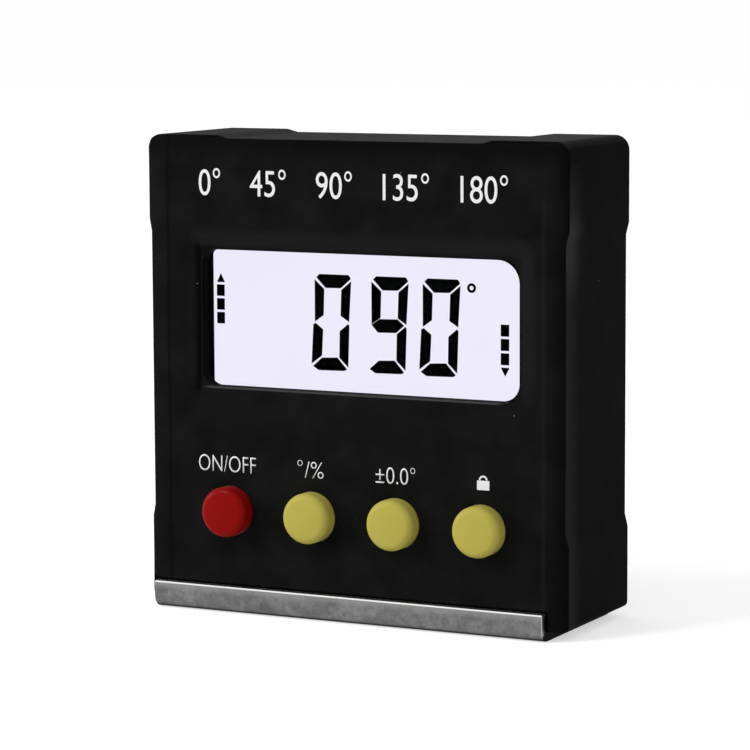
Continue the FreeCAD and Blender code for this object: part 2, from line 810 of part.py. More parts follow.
def make_button(name, x):
    """A round cap with a flange behind the panel, over a push switch on the board."""
    cap = new_body(name + "_button")
    top = front_plane - size.button_proud
    bend = size.button_edge
    switch_top = board_front - size.switch_height - size.switch_cover_thick
    stem_top = switch_top - size.button_travel - size.travel_spare
    flange = panel_back + size.fit_gap
    radius = size.button_radius
    wide = radius + size.flange_width
    section = [
        (zero, top),
        (radius - bend, top, bend),
        (radius, top + bend),
        (radius, flange),
        (wide, flange),
        (wide, stem_top),
        (zero, stem_top),
    ]
    turn(cap, section)
    place(cap, x, zero, button_row)

    stem = document.addObject("Part::Cylinder", name + "_switch_stem")
    stem.Label = name + "_switch_stem"
    stem.setExpression("Radius", size.stem_radius.text)
    stem.setExpression("Height", (switch_top + size.stem_hidden - stem_top).text)
    stem.Placement.Rotation = FreeCAD.Rotation(FreeCAD.Vector(1, 0, 0), -90)
    place(stem, x, stem_top, button_row)

    half = size.switch_side / 2
    hole = size.stem_radius + size.stem_gap
    square = rectangle(-half, half, -half, half)
    body = new_body(name + "_switch_body")
    add(body, "XZ", board_front - size.switch_height, board_front, square)
    bottom = switch_top + size.stem_hidden + size.button_travel + size.travel_spare
    cut(body, "XZ", switch_top - size.overrun, bottom, disc(zero, zero, hole))
    place(body, x, zero, button_row)

    cover = new_body(name + "_switch_cover")
    add(cover, "XZ", switch_top, board_front - size.switch_height, square)
    edge = half + size.switch_cover_thick
    tab = size.switch_tab_width / 2
    for side in (-1, 1):
        sides = sorted((half * side, edge * side), key=lambda length: length.number)
        add(cover, "XZ", switch_top, board_front, rectangle(sides[0], sides[1], -tab, tab))
    cut(cover, "XZ", switch_top - size.overrun, board_front - size.switch_height + size.overrun,
        disc(zero, zero, hole))
    place(cover, x, zero, button_row)


def along(way, near, far):
    """Two places on the X axis in rising order, mirrored when way is negative."""
    return (near, far) if way > 0 else (-far, -near)


def make_cell(label, height, way):
    """One dry cell along X with its raised end towards way, and the plain sleeve around its can."""
    shoulder = cell_reach - size.nub_length
    can_radius = cell_radius - size.sleeve_thick
    cell = new_body(label)
    nub = along(way, shoulder, cell_reach)
    can = along(way, cell_reach - cell_length, shoulder)
    add(cell, "YZ", *can, disc(cell_depth, height, can_radius))
    add(cell, "YZ", *nub, disc(cell_depth, height, size.nub_radius))

    sleeve = new_body(label + "_sleeve")
    add(sleeve, "YZ", *can, disc(cell_depth, height, cell_radius))
    cut(sleeve, "YZ", can[0] - size.overrun, can[1] + size.overrun, disc(cell_depth, height, can_radius))


def add_dimple(body, height, way):
    """The pressed spot that meets a cell's raised end."""
    add(body, "YZ", *along(way, cell_reach, contact_face), disc(cell_depth, height, size.dimple_radius))


def add_leaf(body, height, way):
    """The bent strip that presses on a cell's flat end."""
    thick = size.contact_thick
    low = height - contact_half
    high = height + contact_half
    tip = contact_face - size.leaf_reach
    tail = contact_face - size.leaf_tail
    path = [
        (contact_face, low),
        (contact_face, low + thick * 2),
        (tip + thick * 2, height),
        (tail, high),
        (tail - thick, high),
        (tip, height + thick),
        (tip, height - thick),
    ]
    if way < 0:
        path = [(-x, y) for x, y in path]
    half = size.leaf_width / 2
    add(body, "XZ", cell_depth - half, cell_depth + half, path)


def make_contacts():
    """Spring contacts at the ends of the bay; two of them have a tab that reaches the board."""
    upper, lower = cell_heights
    depth = (cell_depth - contact_half, cell_depth + contact_half)
    tab = size.tab_width / 2
    for label, height, finish in (
        ("positive_contact", upper, add_dimple),
        ("negative_contact", lower, add_leaf),
    ):
        body = new_body(label)
        plate = rectangle(contact_face, bay_half, height - contact_half, height + contact_half)
        add(body, "XZ", *depth, plate)
        add(body, "XZ", board_back, depth[0] + size.overrun,
            rectangle(contact_face, bay_half, height - tab, height + tab))
        finish(body, height, 1)
    bridge = new_body("bridge_contact")
    plate = rectangle(-bay_half, -contact_face, lower - contact_half, upper + contact_half)
    add(bridge, "XZ", *depth, plate)
    add_dimple(bridge, lower, -1)
    add_leaf(bridge, upper, -1)


def make_magnets():
    magnets = []
    for index, x in enumerate((-(size.magnet_pitch / 2), size.magnet_pitch / 2)):
        magnet = document.addObject("Part::Cylinder", "magnet_%d" % (index + 1))
        magnet.setExpression("Radius", size.magnet_radius.text)
        magnet.setExpression("Height", size.magnet_thick.text)
        magnets.append(place(magnet, x, zero, size.screw_head_sink))
    group("base_magnets", magnets)


def countersunk_screw(head_radius, radius, length):
    """A screw along -Z from a flat head at the origin, with a cross recess."""
    taper = head_radius - radius
    head = Part.makeCone(head_radius, radius, taper, FreeCAD.Vector(), FreeCAD.Vector(0, 0, -1))
    shank = Part.makeCylinder(radius, length - radius, FreeCAD.Vector(), FreeCAD.Vector(0, 0, -1))
    point_place = FreeCAD.Vector(0, 0, radius - length)
    point = Part.makeCone(radius, 0, radius, point_place, FreeCAD.Vector(0, 0, -1))
    return recessed(head.fuse([shank, point]), head_radius, zero.number)


def pan_screw(head_radius, head_rise, radius, length):
    """A screw along -Z whose round head stands above the origin."""
    head = Part.makeCylinder(head_radius, head_rise)
    shank = Part.makeCylinder(radius, length, FreeCAD.Vector(), FreeCAD.Vector(0, 0, -1))
    return recessed(head.fuse(shank), head_radius, head_rise)


def recessed(screw, head_radius, top):
    width = size.drive_width.number
    depth = size.drive_depth.number
    reach = head_radius - width
    for long_x, long_y in ((reach, width / 2), (width / 2, reach)):
        corner = FreeCAD.Vector(-long_x, -long_y, top - depth)
        screw = screw.cut(Part.makeBox(2 * long_x, 2 * long_y, 2 * depth, corner))
    return screw.removeSplitter()


def screw_group(label, screw, places, turned):
    """Copies of one screw at its places, as separate solids under one label."""
    copies = []
    for spot in places:
        copy = screw.copy()
        copy.Placement = FreeCAD.Placement(spot, turned)
        copies.append(copy)
    item = document.addObject("Part::Feature", label)
    item.Label = label
    item.Shape = Part.makeCompound(copies)
    item.Placement = FreeCAD.Placement()


def make_screws():
    backwards = FreeCAD.Rotation(FreeCAD.Vector(1, 0, 0), -90)
    down = FreeCAD.Rotation(FreeCAD.Vector(1, 0, 0), 180)
    head_radius = size.screw_head_radius.number
    radius = size.screw_radius.number
    cover_screw = countersunk_screw(head_radius, radius, size.screw_length.number)
    face = (rear_plane - size.screw_head_sink).number
    spots = [FreeCAD.Vector(x.number, face, z.number) for x, z in corner_places]
    screw_group("cover_screws", cover_screw, spots, backwards)

    base_length = (size.base_sheet + size.floor_boss_rise + size.stack_gap).number
    base_screw = countersunk_screw(head_radius, radius, base_length)
    half = (size.base_screw_pitch / 2).number
    sink = size.screw_head_sink.number
    spots = [FreeCAD.Vector(x, 0, sink) for x in (-half, half)]
    screw_group("base_screws", base_screw, spots, down)

    board_screw = pan_screw(
        size.board_screw_head_radius.number, size.board_screw_head.number,
        size.board_screw_radius.number, size.board_screw_length.number,
    )
    spots = [FreeCAD.Vector(x.number, board_back.number, z.number) for x, z in board_posts]
    screw_group("board_screws", board_screw, spots, backwards)


def sub_parts():
    """The objects that are pieces of the product, each with its own label."""
    inner = set()
    for item in document.Objects:
        if item.TypeId == "Part::Compound":
            inner.update(link.Name for link in item.Links)
    kinds = ("PartDesign::Body", "Part::Box", "Part::Cylinder", "Part::Compound", "Part::Feature")
    return [item for item in document.Objects if item.TypeId in kinds and item.Name not in inner]


def check_document():
    """Stop on a failed object, a cut that takes nothing or a pad that adds nothing."""
    faults = [item.Name for item in document.Objects if {"Invalid", "Error"} & set(item.State)]
    for item in document.Objects:
        base = getattr(item, "BaseFeature", None)
        if base is None or item.TypeId == "PartDesign::Body":
            continue
        change = item.Shape.Volume - base.Shape.Volume
        removes = item.TypeId in ("PartDesign::Pocket", "PartDesign::SubtractiveLoft")
        if (removes and change >= 0) or (not removes and change <= 0):
            faults.append("%s in %s changes nothing" % (item.Name, item.getParentGeoFeatureGroup().Label))
    for item in sub_parts():
        if item.Shape.isNull() or not item.Shape.isValid() or item.Shape.Volume <= 0:
            faults.append("%s has no sound shape" % item.Label)
    if faults:
        sys.exit("Faults: " + ", ".join(faults))


def write_parts():
    os.makedirs("parts", exist_ok=True)
    for item in sub_parts():
        item.Shape.exportStep(os.path.join("parts", item.Label + ".step"))
        box = item.Shape.BoundBox
        print("%-24s %2d solids  x %7.2f %7.2f  y %7.2f %7.2f  z %7.2f %7.2f" % (
            item.Label, len(item.Shape.Solids), box.XMin, box.XMax, box.YMin, box.YMax, box.ZMin, box.ZMax))


make_front_housing()
make_rear_cover()
make_battery_door()
make_base_channel()
make_display()
make_main_board()
make_board_parts()
for button_name, button_place in zip(button_names, button_places()):
    make_button(button_name, button_place)
make_cell("upper_cell", cell_heights[0], 1)
make_cell("lower_cell", cell_heights[1], -1)
make_contacts()
make_magnets()
make_screws()
document.recompute()
check_document()
write_parts()
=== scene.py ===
import json
import math

import bmesh
import bpy
from mathutils import Matrix, Vector

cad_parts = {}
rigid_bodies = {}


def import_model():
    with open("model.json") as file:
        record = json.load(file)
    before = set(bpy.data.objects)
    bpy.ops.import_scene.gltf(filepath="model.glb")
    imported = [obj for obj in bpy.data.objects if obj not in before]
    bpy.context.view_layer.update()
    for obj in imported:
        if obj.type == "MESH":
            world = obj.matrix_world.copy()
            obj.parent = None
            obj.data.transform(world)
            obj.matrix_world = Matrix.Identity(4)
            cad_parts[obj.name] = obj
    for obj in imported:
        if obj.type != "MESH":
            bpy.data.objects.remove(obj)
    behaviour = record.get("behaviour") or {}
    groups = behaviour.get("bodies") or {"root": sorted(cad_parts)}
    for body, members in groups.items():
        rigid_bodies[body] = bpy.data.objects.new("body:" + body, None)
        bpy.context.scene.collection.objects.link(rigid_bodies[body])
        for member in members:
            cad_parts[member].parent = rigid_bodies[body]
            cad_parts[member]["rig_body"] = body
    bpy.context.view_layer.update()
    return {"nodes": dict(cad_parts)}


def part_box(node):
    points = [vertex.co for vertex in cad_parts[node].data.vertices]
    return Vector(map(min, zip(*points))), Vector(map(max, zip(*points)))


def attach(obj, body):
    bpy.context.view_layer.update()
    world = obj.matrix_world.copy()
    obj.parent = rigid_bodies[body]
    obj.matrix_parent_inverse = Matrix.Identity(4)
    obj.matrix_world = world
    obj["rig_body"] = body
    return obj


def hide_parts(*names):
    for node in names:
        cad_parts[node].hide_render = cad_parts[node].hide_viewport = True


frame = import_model()

# Small electronic angle gauge: black moulded case, lit display, four press buttons, steel base channel.
# Sizes in the dictionaries are millimetres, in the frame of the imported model: x right, y back, z up.
mm = 0.001
scene = bpy.context.scene
scene.view_settings.view_transform = "Standard"
print("frame loaded:", len(frame["nodes"]), "nodes")


def linear(hexColour):
    # an sRGB hex value as the linear colour that Blender works in
    parts = [int(hexColour[i:i + 2], 16) / 255 for i in (1, 3, 5)]
    return tuple(c / 12.92 if c <= 0.04045 else ((c + 0.055) / 1.055) ** 2.4 for c in parts) + (1.0,)


def perMetre(size):
    # the scale of a noise whose lumps are this many millimetres across
    return 1000 / size


def fill(tree, node, inputs):
    for name, value in inputs.items():
        if isinstance(value, bpy.types.NodeSocket):
            tree.links.new(value, node.inputs[name])
        else:
            node.inputs[name].default_value = value


def addNode(tree, kind, inputs=None, **settings):
    node = tree.nodes.new(kind)
    for name, value in settings.items():
        setattr(node, name, value)
    fill(tree, node, inputs or {})
    return node


def startMaterial(name):
    # a new material with its tree, its shader and the place on the object that patterns follow
    material = bpy.data.materials.new(name)
    material.use_nodes = True
    tree = material.node_tree
    return material, tree, tree.nodes["Principled BSDF"], addNode(tree, "ShaderNodeTexCoord").outputs["Object"]


def ramp(tree, value, start, end, most=1.0):
    # rises softly from 0 at the start to the most at the end; both places in mm
    low, high, top = (start, end, most) if start < end else (end, start, most)
    made = addNode(tree, "ShaderNodeMapRange", {"Value": value, "From Min": low * mm, "From Max": high * mm},
                   interpolation_type="SMOOTHSTEP")
    made.inputs["To Min" if start > end else "To Max"].default_value = top
    made.inputs["To Max" if start > end else "To Min"].default_value = 0
    return made.outputs[0]


def toned(tree, colour, tones):
    # lays each tone over the colour, as strongly as the product of its shares
    for hexColour, share, *others in tones:
        for other in others:
            share = addNode(tree, "ShaderNodeMath", {0: share, 1: other}, operation="MULTIPLY").outputs[0]
        colour = addNode(tree, "ShaderNodeMix", {0: share, 6: colour, 7: linear(hexColour)},
                         data_type="RGBA").outputs[2]
    return colour


def addGrain(tree, shader, place, size, detail, roughness, strength, relief):
    # a fine grain that moves the shader's roughness and bump; its size and relief are in mm
    grains = addNode(tree, "ShaderNodeTexNoise", {"Vector": place, "Scale": perMetre(size), "Detail": detail})
    dull = addNode(tree, "ShaderNodeMapRange", {"Value": grains.outputs[0], "From Min": 0.3, "From Max": 0.7,
                                                "To Min": roughness[0], "To Max": roughness[1]})
    bump = addNode(tree, "ShaderNodeBump", {"Height": grains.outputs[0], "Strength": strength, "Distance": relief * mm})
    fill(tree, shader, {"Roughness": dull.outputs[0], "Normal": bump.outputs["Normal"]})


print("helpers ready")


def plainFinish(name, colours, roughness, patch, grain, relief, sockets=None, stretch=(1, 1, 1)):
    # soft patches between two close colours under a fine grain (sizes in mm)
    material, tree, shader, place = startMaterial(name)
    place = addNode(tree, "ShaderNodeMapping", {"Vector": place, "Scale": stretch}).outputs["Vector"]
    patches = addNode(tree, "ShaderNodeTexNoise", {"Vector": place, "Scale": perMetre(patch), "Detail": 3})
    spread = addNode(tree, "ShaderNodeMapRange", {"Value": patches.outputs[0], "From Min": 0.3, "From Max": 0.7})
    blend = addNode(tree, "ShaderNodeMix", {0: spread.outputs[0], 6: linear(colours[0]), 7: linear(colours[1])},
                    data_type="RGBA")
    addGrain(tree, shader, place, grain, 2, roughness, 0.5, relief)
    fill(tree, shader, {"Base Color": blend.outputs[2], **(sockets or {})})
    return material


def mouldedAbs():
    # Black ABS from a spark-eroded mould: a deep, dull black with a fine grain, faint mottling and a little dust.
    # The fine grain swallows most of the shine, so its gloss is far below that of polished ABS.
    # Light and shade are painted into its colour: painted shade on the sides and their upper shoulders, on the front's
    # right and top borders, the left crease, the slope left of the display, the opening's walls and the seam above the
    # steel; painted highlights along the sides' front edge and below their shoulders, on the right crease, on the slope
    # above and right of the display and along the opening's lower lip.
    look = {"dark": "#141414", "light": "#1b1b1b", "dust": "#9a9a9a", "patch": 5, "grain": 0.26, "relief": 0.02,
            "dustApart": 5.5, "dustSize": 0.11, "roughness": (0.42, 0.58), "gloss": 0.003,
            "opening": (0.45, 0, 38.6), "half": (22.75, 100, 9.0), "side": 0.8, "front": -0.7}
    material, tree, shader, place = startMaterial("black_moulded_abs")
    x, y, z = addNode(tree, "ShaderNodeSeparateXYZ", {"Vector": place}).outputs
    facing = addNode(tree, "ShaderNodeTexCoord").outputs["Normal"]
    across, depth, _ = addNode(tree, "ShaderNodeSeparateXYZ", {"Vector": facing}).outputs
    across = addNode(tree, "ShaderNodeMath", {0: across}, operation="ABSOLUTE").outputs[0]
    onSide = addNode(tree, "ShaderNodeMath", {0: across, 1: look["side"]}, operation="GREATER_THAN").outputs[0]
    onFront = addNode(tree, "ShaderNodeMath", {0: depth, 1: look["front"]}, operation="LESS_THAN").outputs[0]
    fromMiddle = addNode(tree, "ShaderNodeVectorMath", {0: place, 1: [c * mm for c in look["opening"]]},
                         operation="SUBTRACT").outputs[0]
    spanned = addNode(tree, "ShaderNodeVectorMath", {0: fromMiddle}, operation="ABSOLUTE").outputs[0]
    past = addNode(tree, "ShaderNodeVectorMath", {0: spanned, 1: [c * mm for c in look["half"]]},
                   operation="SUBTRACT").outputs[0]
    outside = addNode(tree, "ShaderNodeVectorMath", {0: past, 1: (0, 0, 0)}, operation="MAXIMUM").outputs[0]
    away = addNode(tree, "ShaderNodeVectorMath", {0: outside}, operation="LENGTH").outputs["Value"]
    patches = addNode(tree, "ShaderNodeTexNoise", {"Vector": place, "Scale": perMetre(look["patch"]), "Detail": 4})
    spread = addNode(tree, "ShaderNodeMapRange", {"Value": patches.outputs[0], "From Min": 0.35, "From Max": 0.65})
    blend = addNode(tree, "ShaderNodeMix", {0: spread.outputs[0], 6: linear(look["dark"]), 7: linear(look["light"])},
                    data_type="RGBA")
    colour = toned(tree, blend.outputs[2], [
        # the sides: painted shade, deeper at the upper shoulders; painted highlights along the front edge and below the
        # shoulders
        ("#0c0c0c", onSide, 0.5),
        ("#050505", onSide, ramp(tree, z, 49, 58, 0.45)),
        ("#343434", onSide, ramp(tree, y, -4.6, -9.1, 0.5), ramp(tree, z, 61, 55)),
        ("#4a4a4a", onSide, ramp(tree, y, -3.5, -9.1, 0.4), ramp(tree, z, 55, 51), ramp(tree, z, 42, 48)),
        # painted shade on the front's right and top borders and on the left crease, a painted highlight on the right
        # crease
        ("#060606", onFront, ramp(tree, x, 27.0, 29.8, 0.55)),
        ("#0b0b0b", onFront, ramp(tree, z, 58.6, 61.8, 0.7)),
        ("#242424", onFront, ramp(tree, x, 26.2, 26.8, 0.4), ramp(tree, x, 27.3, 26.9), ramp(tree, z, 58.0, 53.0)),
        ("#0b0b0b", onFront, ramp(tree, x, -26.3, -26.7, 0.55), ramp(tree, x, -27.2, -26.8)),
        # the slope round the display: a painted highlight above it and at its right, painted shade at its left
        ("#222222", onFront, ramp(tree, away, 3.2, 1.6, 0.8), ramp(tree, away, 0, 0.8), ramp(tree, x, -24.5, -22),
         ramp(tree, z, 29.0, 33.0)),
        ("#0a0a0a", onFront, ramp(tree, away, 1.4, 0.1), ramp(tree, x, -22.0, -22.6)),
        # painted shade on the opening's walls, and a painted highlight, a line of light, along its lower lip
        ("#0f0f0f", ramp(tree, away, 0.15, 0.05), ramp(tree, y, -9.1, -9.0), ramp(tree, y, -5.9, -6.1)),
        ("#444444", ramp(tree, away, 0.25, 0.15), ramp(tree, z, 29.72, 29.66), ramp(tree, y, -8.85, -8.95),
         ramp(tree, x, -22.2, -20.8), ramp(tree, x, 21.2, 19.8)),
        # painted shade on the seam above the steel, where the flange shades the case
        ("#030303", onFront, ramp(tree, z, 3.9, 3.75), ramp(tree, x, 27.5, 27.3)),
    ])
    motes = addNode(tree, "ShaderNodeTexVoronoi", {"Vector": place, "Scale": perMetre(look["dustApart"])})
    # the distance of the nearest mote, in cells, against a mote's own size
    near = addNode(tree, "ShaderNodeMapRange", {"Value": motes.outputs["Distance"],
                                                "From Min": look["dustSize"] / look["dustApart"], "From Max": 0})
    colour = toned(tree, colour, [(look["dust"], near.outputs[0])])
    # real grain is about 0.05 mm: drawn as 0.26 mm, or it would not show
    addGrain(tree, shader, place, look["grain"], 3, look["roughness"], 0.35, look["relief"])
    fill(tree, shader, {"Base Color": colour, "IOR": 1.54, "Specular IOR Level": look["gloss"]})
    return material


def rolledSteel():
    # Stainless sheet with a dull mill finish: grey metal, lengthwise rolling marks, cloudy and faintly warm stains,
    # lighter towards the top, painted shade along its foot and on the cut end of the plate with a painted highlight on
    # that end's upper edge, and bare metal where the edges were sheared, drawn brighter as a painted highlight
    look = {"dark": "#606061", "light": "#848484", "stain": "#595753", "bareAndGlint": "#e8e8e6",
            "cloud": 3.2, "spot": 1.1, "mark": 0.14, "relief": 0.01, "roughness": (0.34, 0.52), "bareRoughness": 0.3}
    material, tree, shader, place = startMaterial("dull_stainless_steel")
    x, y, z = addNode(tree, "ShaderNodeSeparateXYZ", {"Vector": place}).outputs
    # the sheared edges along the flange's top and down its right end: bare metal, drawn brighter than bare steel as a
    # painted highlight
    endEdge = addNode(tree, "ShaderNodeMath", {0: ramp(tree, x, 27.05, 27.12, 0.4), 1: ramp(tree, y, -10.85, -11.05)},
                      operation="MULTIPLY").outputs[0]
    bareAndGlint = addNode(tree, "ShaderNodeMath", {0: ramp(tree, z, 3.34, 3.4), 1: endEdge}, operation="MAXIMUM").outputs[0]
    drawn = addNode(tree, "ShaderNodeMapping", {"Vector": place, "Scale": (0.05, 1, 1)}).outputs["Vector"]
    clouds = addNode(tree, "ShaderNodeTexNoise", {"Vector": place, "Scale": perMetre(look["cloud"]), "Detail": 7,
                                                  "Roughness": 0.75})
    spread = addNode(tree, "ShaderNodeMapRange", {"Value": clouds.outputs[0], "From Min": 0.35, "From Max": 0.65})
    blend = addNode(tree, "ShaderNodeMix", {0: spread.outputs[0], 6: linear(look["dark"]), 7: linear(look["light"])},
                    data_type="RGBA")
    spots = addNode(tree, "ShaderNodeTexNoise", {"Vector": place, "Scale": perMetre(look["spot"]), "Detail": 6,
                                                 "Roughness": 0.7})
    stained = addNode(tree, "ShaderNodeMapRange", {"Value": spots.outputs[0], "From Min": 0.48, "From Max": 0.66,
                                                   "To Max": 0.7})
    onEnd = ramp(tree, x, 27.1, 27.15)
    colour = toned(tree, blend.outputs[2], [
        (look["stain"], stained.outputs[0]),
        # lighter towards the top, and painted shade along the foot
        ("#949494", ramp(tree, z, 2.3, 3.3, 0.5)),
        ("#2a2927", ramp(tree, z, 0.6, 0.25, 0.95)),
        # the cut end: painted shade, black on the plate, with a painted highlight on its upper edge; painted shade
        # behind the flange's face
        ("#0c0c0c", onEnd, ramp(tree, z, 1.25, 1.2)),
        ("#7c7c7a", onEnd, ramp(tree, z, 0.75, 0.95), ramp(tree, y, -7, -8.5)),
        ("#1c1c1c", ramp(tree, x, 27.0, 27.06), ramp(tree, y, -10.6, -10.4)),
        (look["bareAndGlint"], bareAndGlint),
    ])
    marks = addNode(tree, "ShaderNodeTexNoise", {"Vector": drawn, "Scale": perMetre(look["mark"]), "Detail": 2})
    dull = addNode(tree, "ShaderNodeMapRange", {"Value": clouds.outputs[0], "From Min": 0.3, "From Max": 0.7,
                                                "To Min": look["roughness"][0], "To Max": look["roughness"][1]})
    shine = addNode(tree, "ShaderNodeMix", {0: bareAndGlint, 2: dull.outputs[0], 3: look["bareRoughness"]})
    bump = addNode(tree, "ShaderNodeBump", {"Height": marks.outputs[0], "Strength": 0.4,
                                            "Distance": look["relief"] * mm})
    # its film of dirt takes the shine away where it is seen at a flat angle: hence the grey edge tint
    fill(tree, shader, {"Base Color": colour, "Metallic": 1.0, "Roughness": shine.outputs[0],
                        "Specular Tint": (0.5, 0.5, 0.5, 1), "Normal": bump.outputs["Normal"]})
    return material


def buttonPlastic(name, colour, light):
    # Coloured ABS, moulded and lightly polished: an even colour, a soft broad shine, faint flow marks, and fine
    # dust that pales its rim
    look = {"patch": 3.2, "grain": 0.35, "relief": 0.012, "roughness": (0.27, 0.35), "gloss": 0.05, "dust": 0.12}
    material, tree, shader, place = startMaterial(name)
    patches = addNode(tree, "ShaderNodeTexNoise", {"Vector": place, "Scale": perMetre(look["patch"]), "Detail": 3})
    blend = addNode(tree, "ShaderNodeMix", {0: patches.outputs[0], 6: linear(colour), 7: linear(light)},
                    data_type="RGBA")
    addGrain(tree, shader, place, look["grain"], 2, look["roughness"], 0.3, look["relief"])
    fill(tree, shader, {"Base Color": blend.outputs[2], "IOR": 1.54, "Specular IOR Level": look["gloss"],
                        "Sheen Weight": look["dust"], "Sheen Roughness": 0.3})
    return material


def litFilm():
    # Polariser film with the backlight behind it: an even, faintly violet white glow
    look = {"film": "#1c1c1f", "glow": "#f2effd", "edgeGlow": "#efebfa", "cloud": 16, "strength": 1.035}
    material, tree, shader, place = startMaterial("lit_polariser_film")
    clouds = addNode(tree, "ShaderNodeTexNoise", {"Vector": place, "Scale": perMetre(look["cloud"]), "Detail": 1})
    glow = addNode(tree, "ShaderNodeMix", {0: clouds.outputs[0], 6: linear(look["glow"]),
                                           7: linear(look["edgeGlow"])}, data_type="RGBA")
    fill(tree, shader, {"Base Color": linear(look["film"]), "Roughness": 0.6, "Specular IOR Level": 0.0,
                        "Emission Color": glow.outputs[2], "Emission Strength": look["strength"]})
    return material


def clearAcrylic():
    # Clear acrylic with an anti-reflection coat: a plain window that mirrors next to nothing. Bare acrylic has an
    # IOR of 1.49; the coat's low reflection is matched by a low IOR, as one shader layer has only that to set it.
    look = {"tint": "#f7f8fa", "roughness": 0.02, "wave": 9, "relief": 0.002, "ior": 1.04}
    material, tree, shader, place = startMaterial("clear_acrylic")
    waves = addNode(tree, "ShaderNodeTexNoise", {"Vector": place, "Scale": perMetre(look["wave"]), "Detail": 1})
    bump = addNode(tree, "ShaderNodeBump", {"Height": waves.outputs[0], "Strength": 0.2,
                                            "Distance": look["relief"] * mm})
    fill(tree, shader, {"Base Color": linear(look["tint"]), "Roughness": look["roughness"], "IOR": look["ior"],
                        "Transmission Weight": 1.0, "Normal": bump.outputs["Normal"]})
    return material


def sleeveFilm():
    # Printed shrink film on a dry cell: satin dark blue with a pale band at the end of the button
    look = {"blue": "#1d3b66", "band": "#c9ccd0", "edge": 14.2, "split": 31.6, "grain": 0.5, "relief": 0.01}
    material, tree, shader, place = startMaterial("printed_shrink_film")
    x, _, z = addNode(tree, "ShaderNodeSeparateXYZ", {"Vector": place}).outputs
    # the two cells lie head to tail: the upper one's band is at the right, the lower one's at the left
    upper = addNode(tree, "ShaderNodeMath", {0: z, 1: look["split"] * mm}, operation="GREATER_THAN").outputs[0]
    side = addNode(tree, "ShaderNodeMath", {0: upper, 1: 2.0, 2: -1.0}, operation="MULTIPLY_ADD").outputs[0]
    along = addNode(tree, "ShaderNodeMath", {0: x, 1: side}, operation="MULTIPLY").outputs[0]
    band = addNode(tree, "ShaderNodeMath", {0: along, 1: look["edge"] * mm}, operation="GREATER_THAN").outputs[0]
    blend = addNode(tree, "ShaderNodeMix", {0: band, 6: linear(look["blue"]), 7: linear(look["band"])},
                    data_type="RGBA")
    grains = addNode(tree, "ShaderNodeTexNoise", {"Vector": place, "Scale": perMetre(look["grain"]), "Detail": 2})
    bump = addNode(tree, "ShaderNodeBump", {"Height": grains.outputs[0], "Strength": 0.2,
                                            "Distance": look["relief"] * mm})
    fill(tree, shader, {"Base Color": blend.outputs[2], "Roughness": 0.32, "IOR": 1.54,
                        "Normal": bump.outputs["Normal"]})
    return material


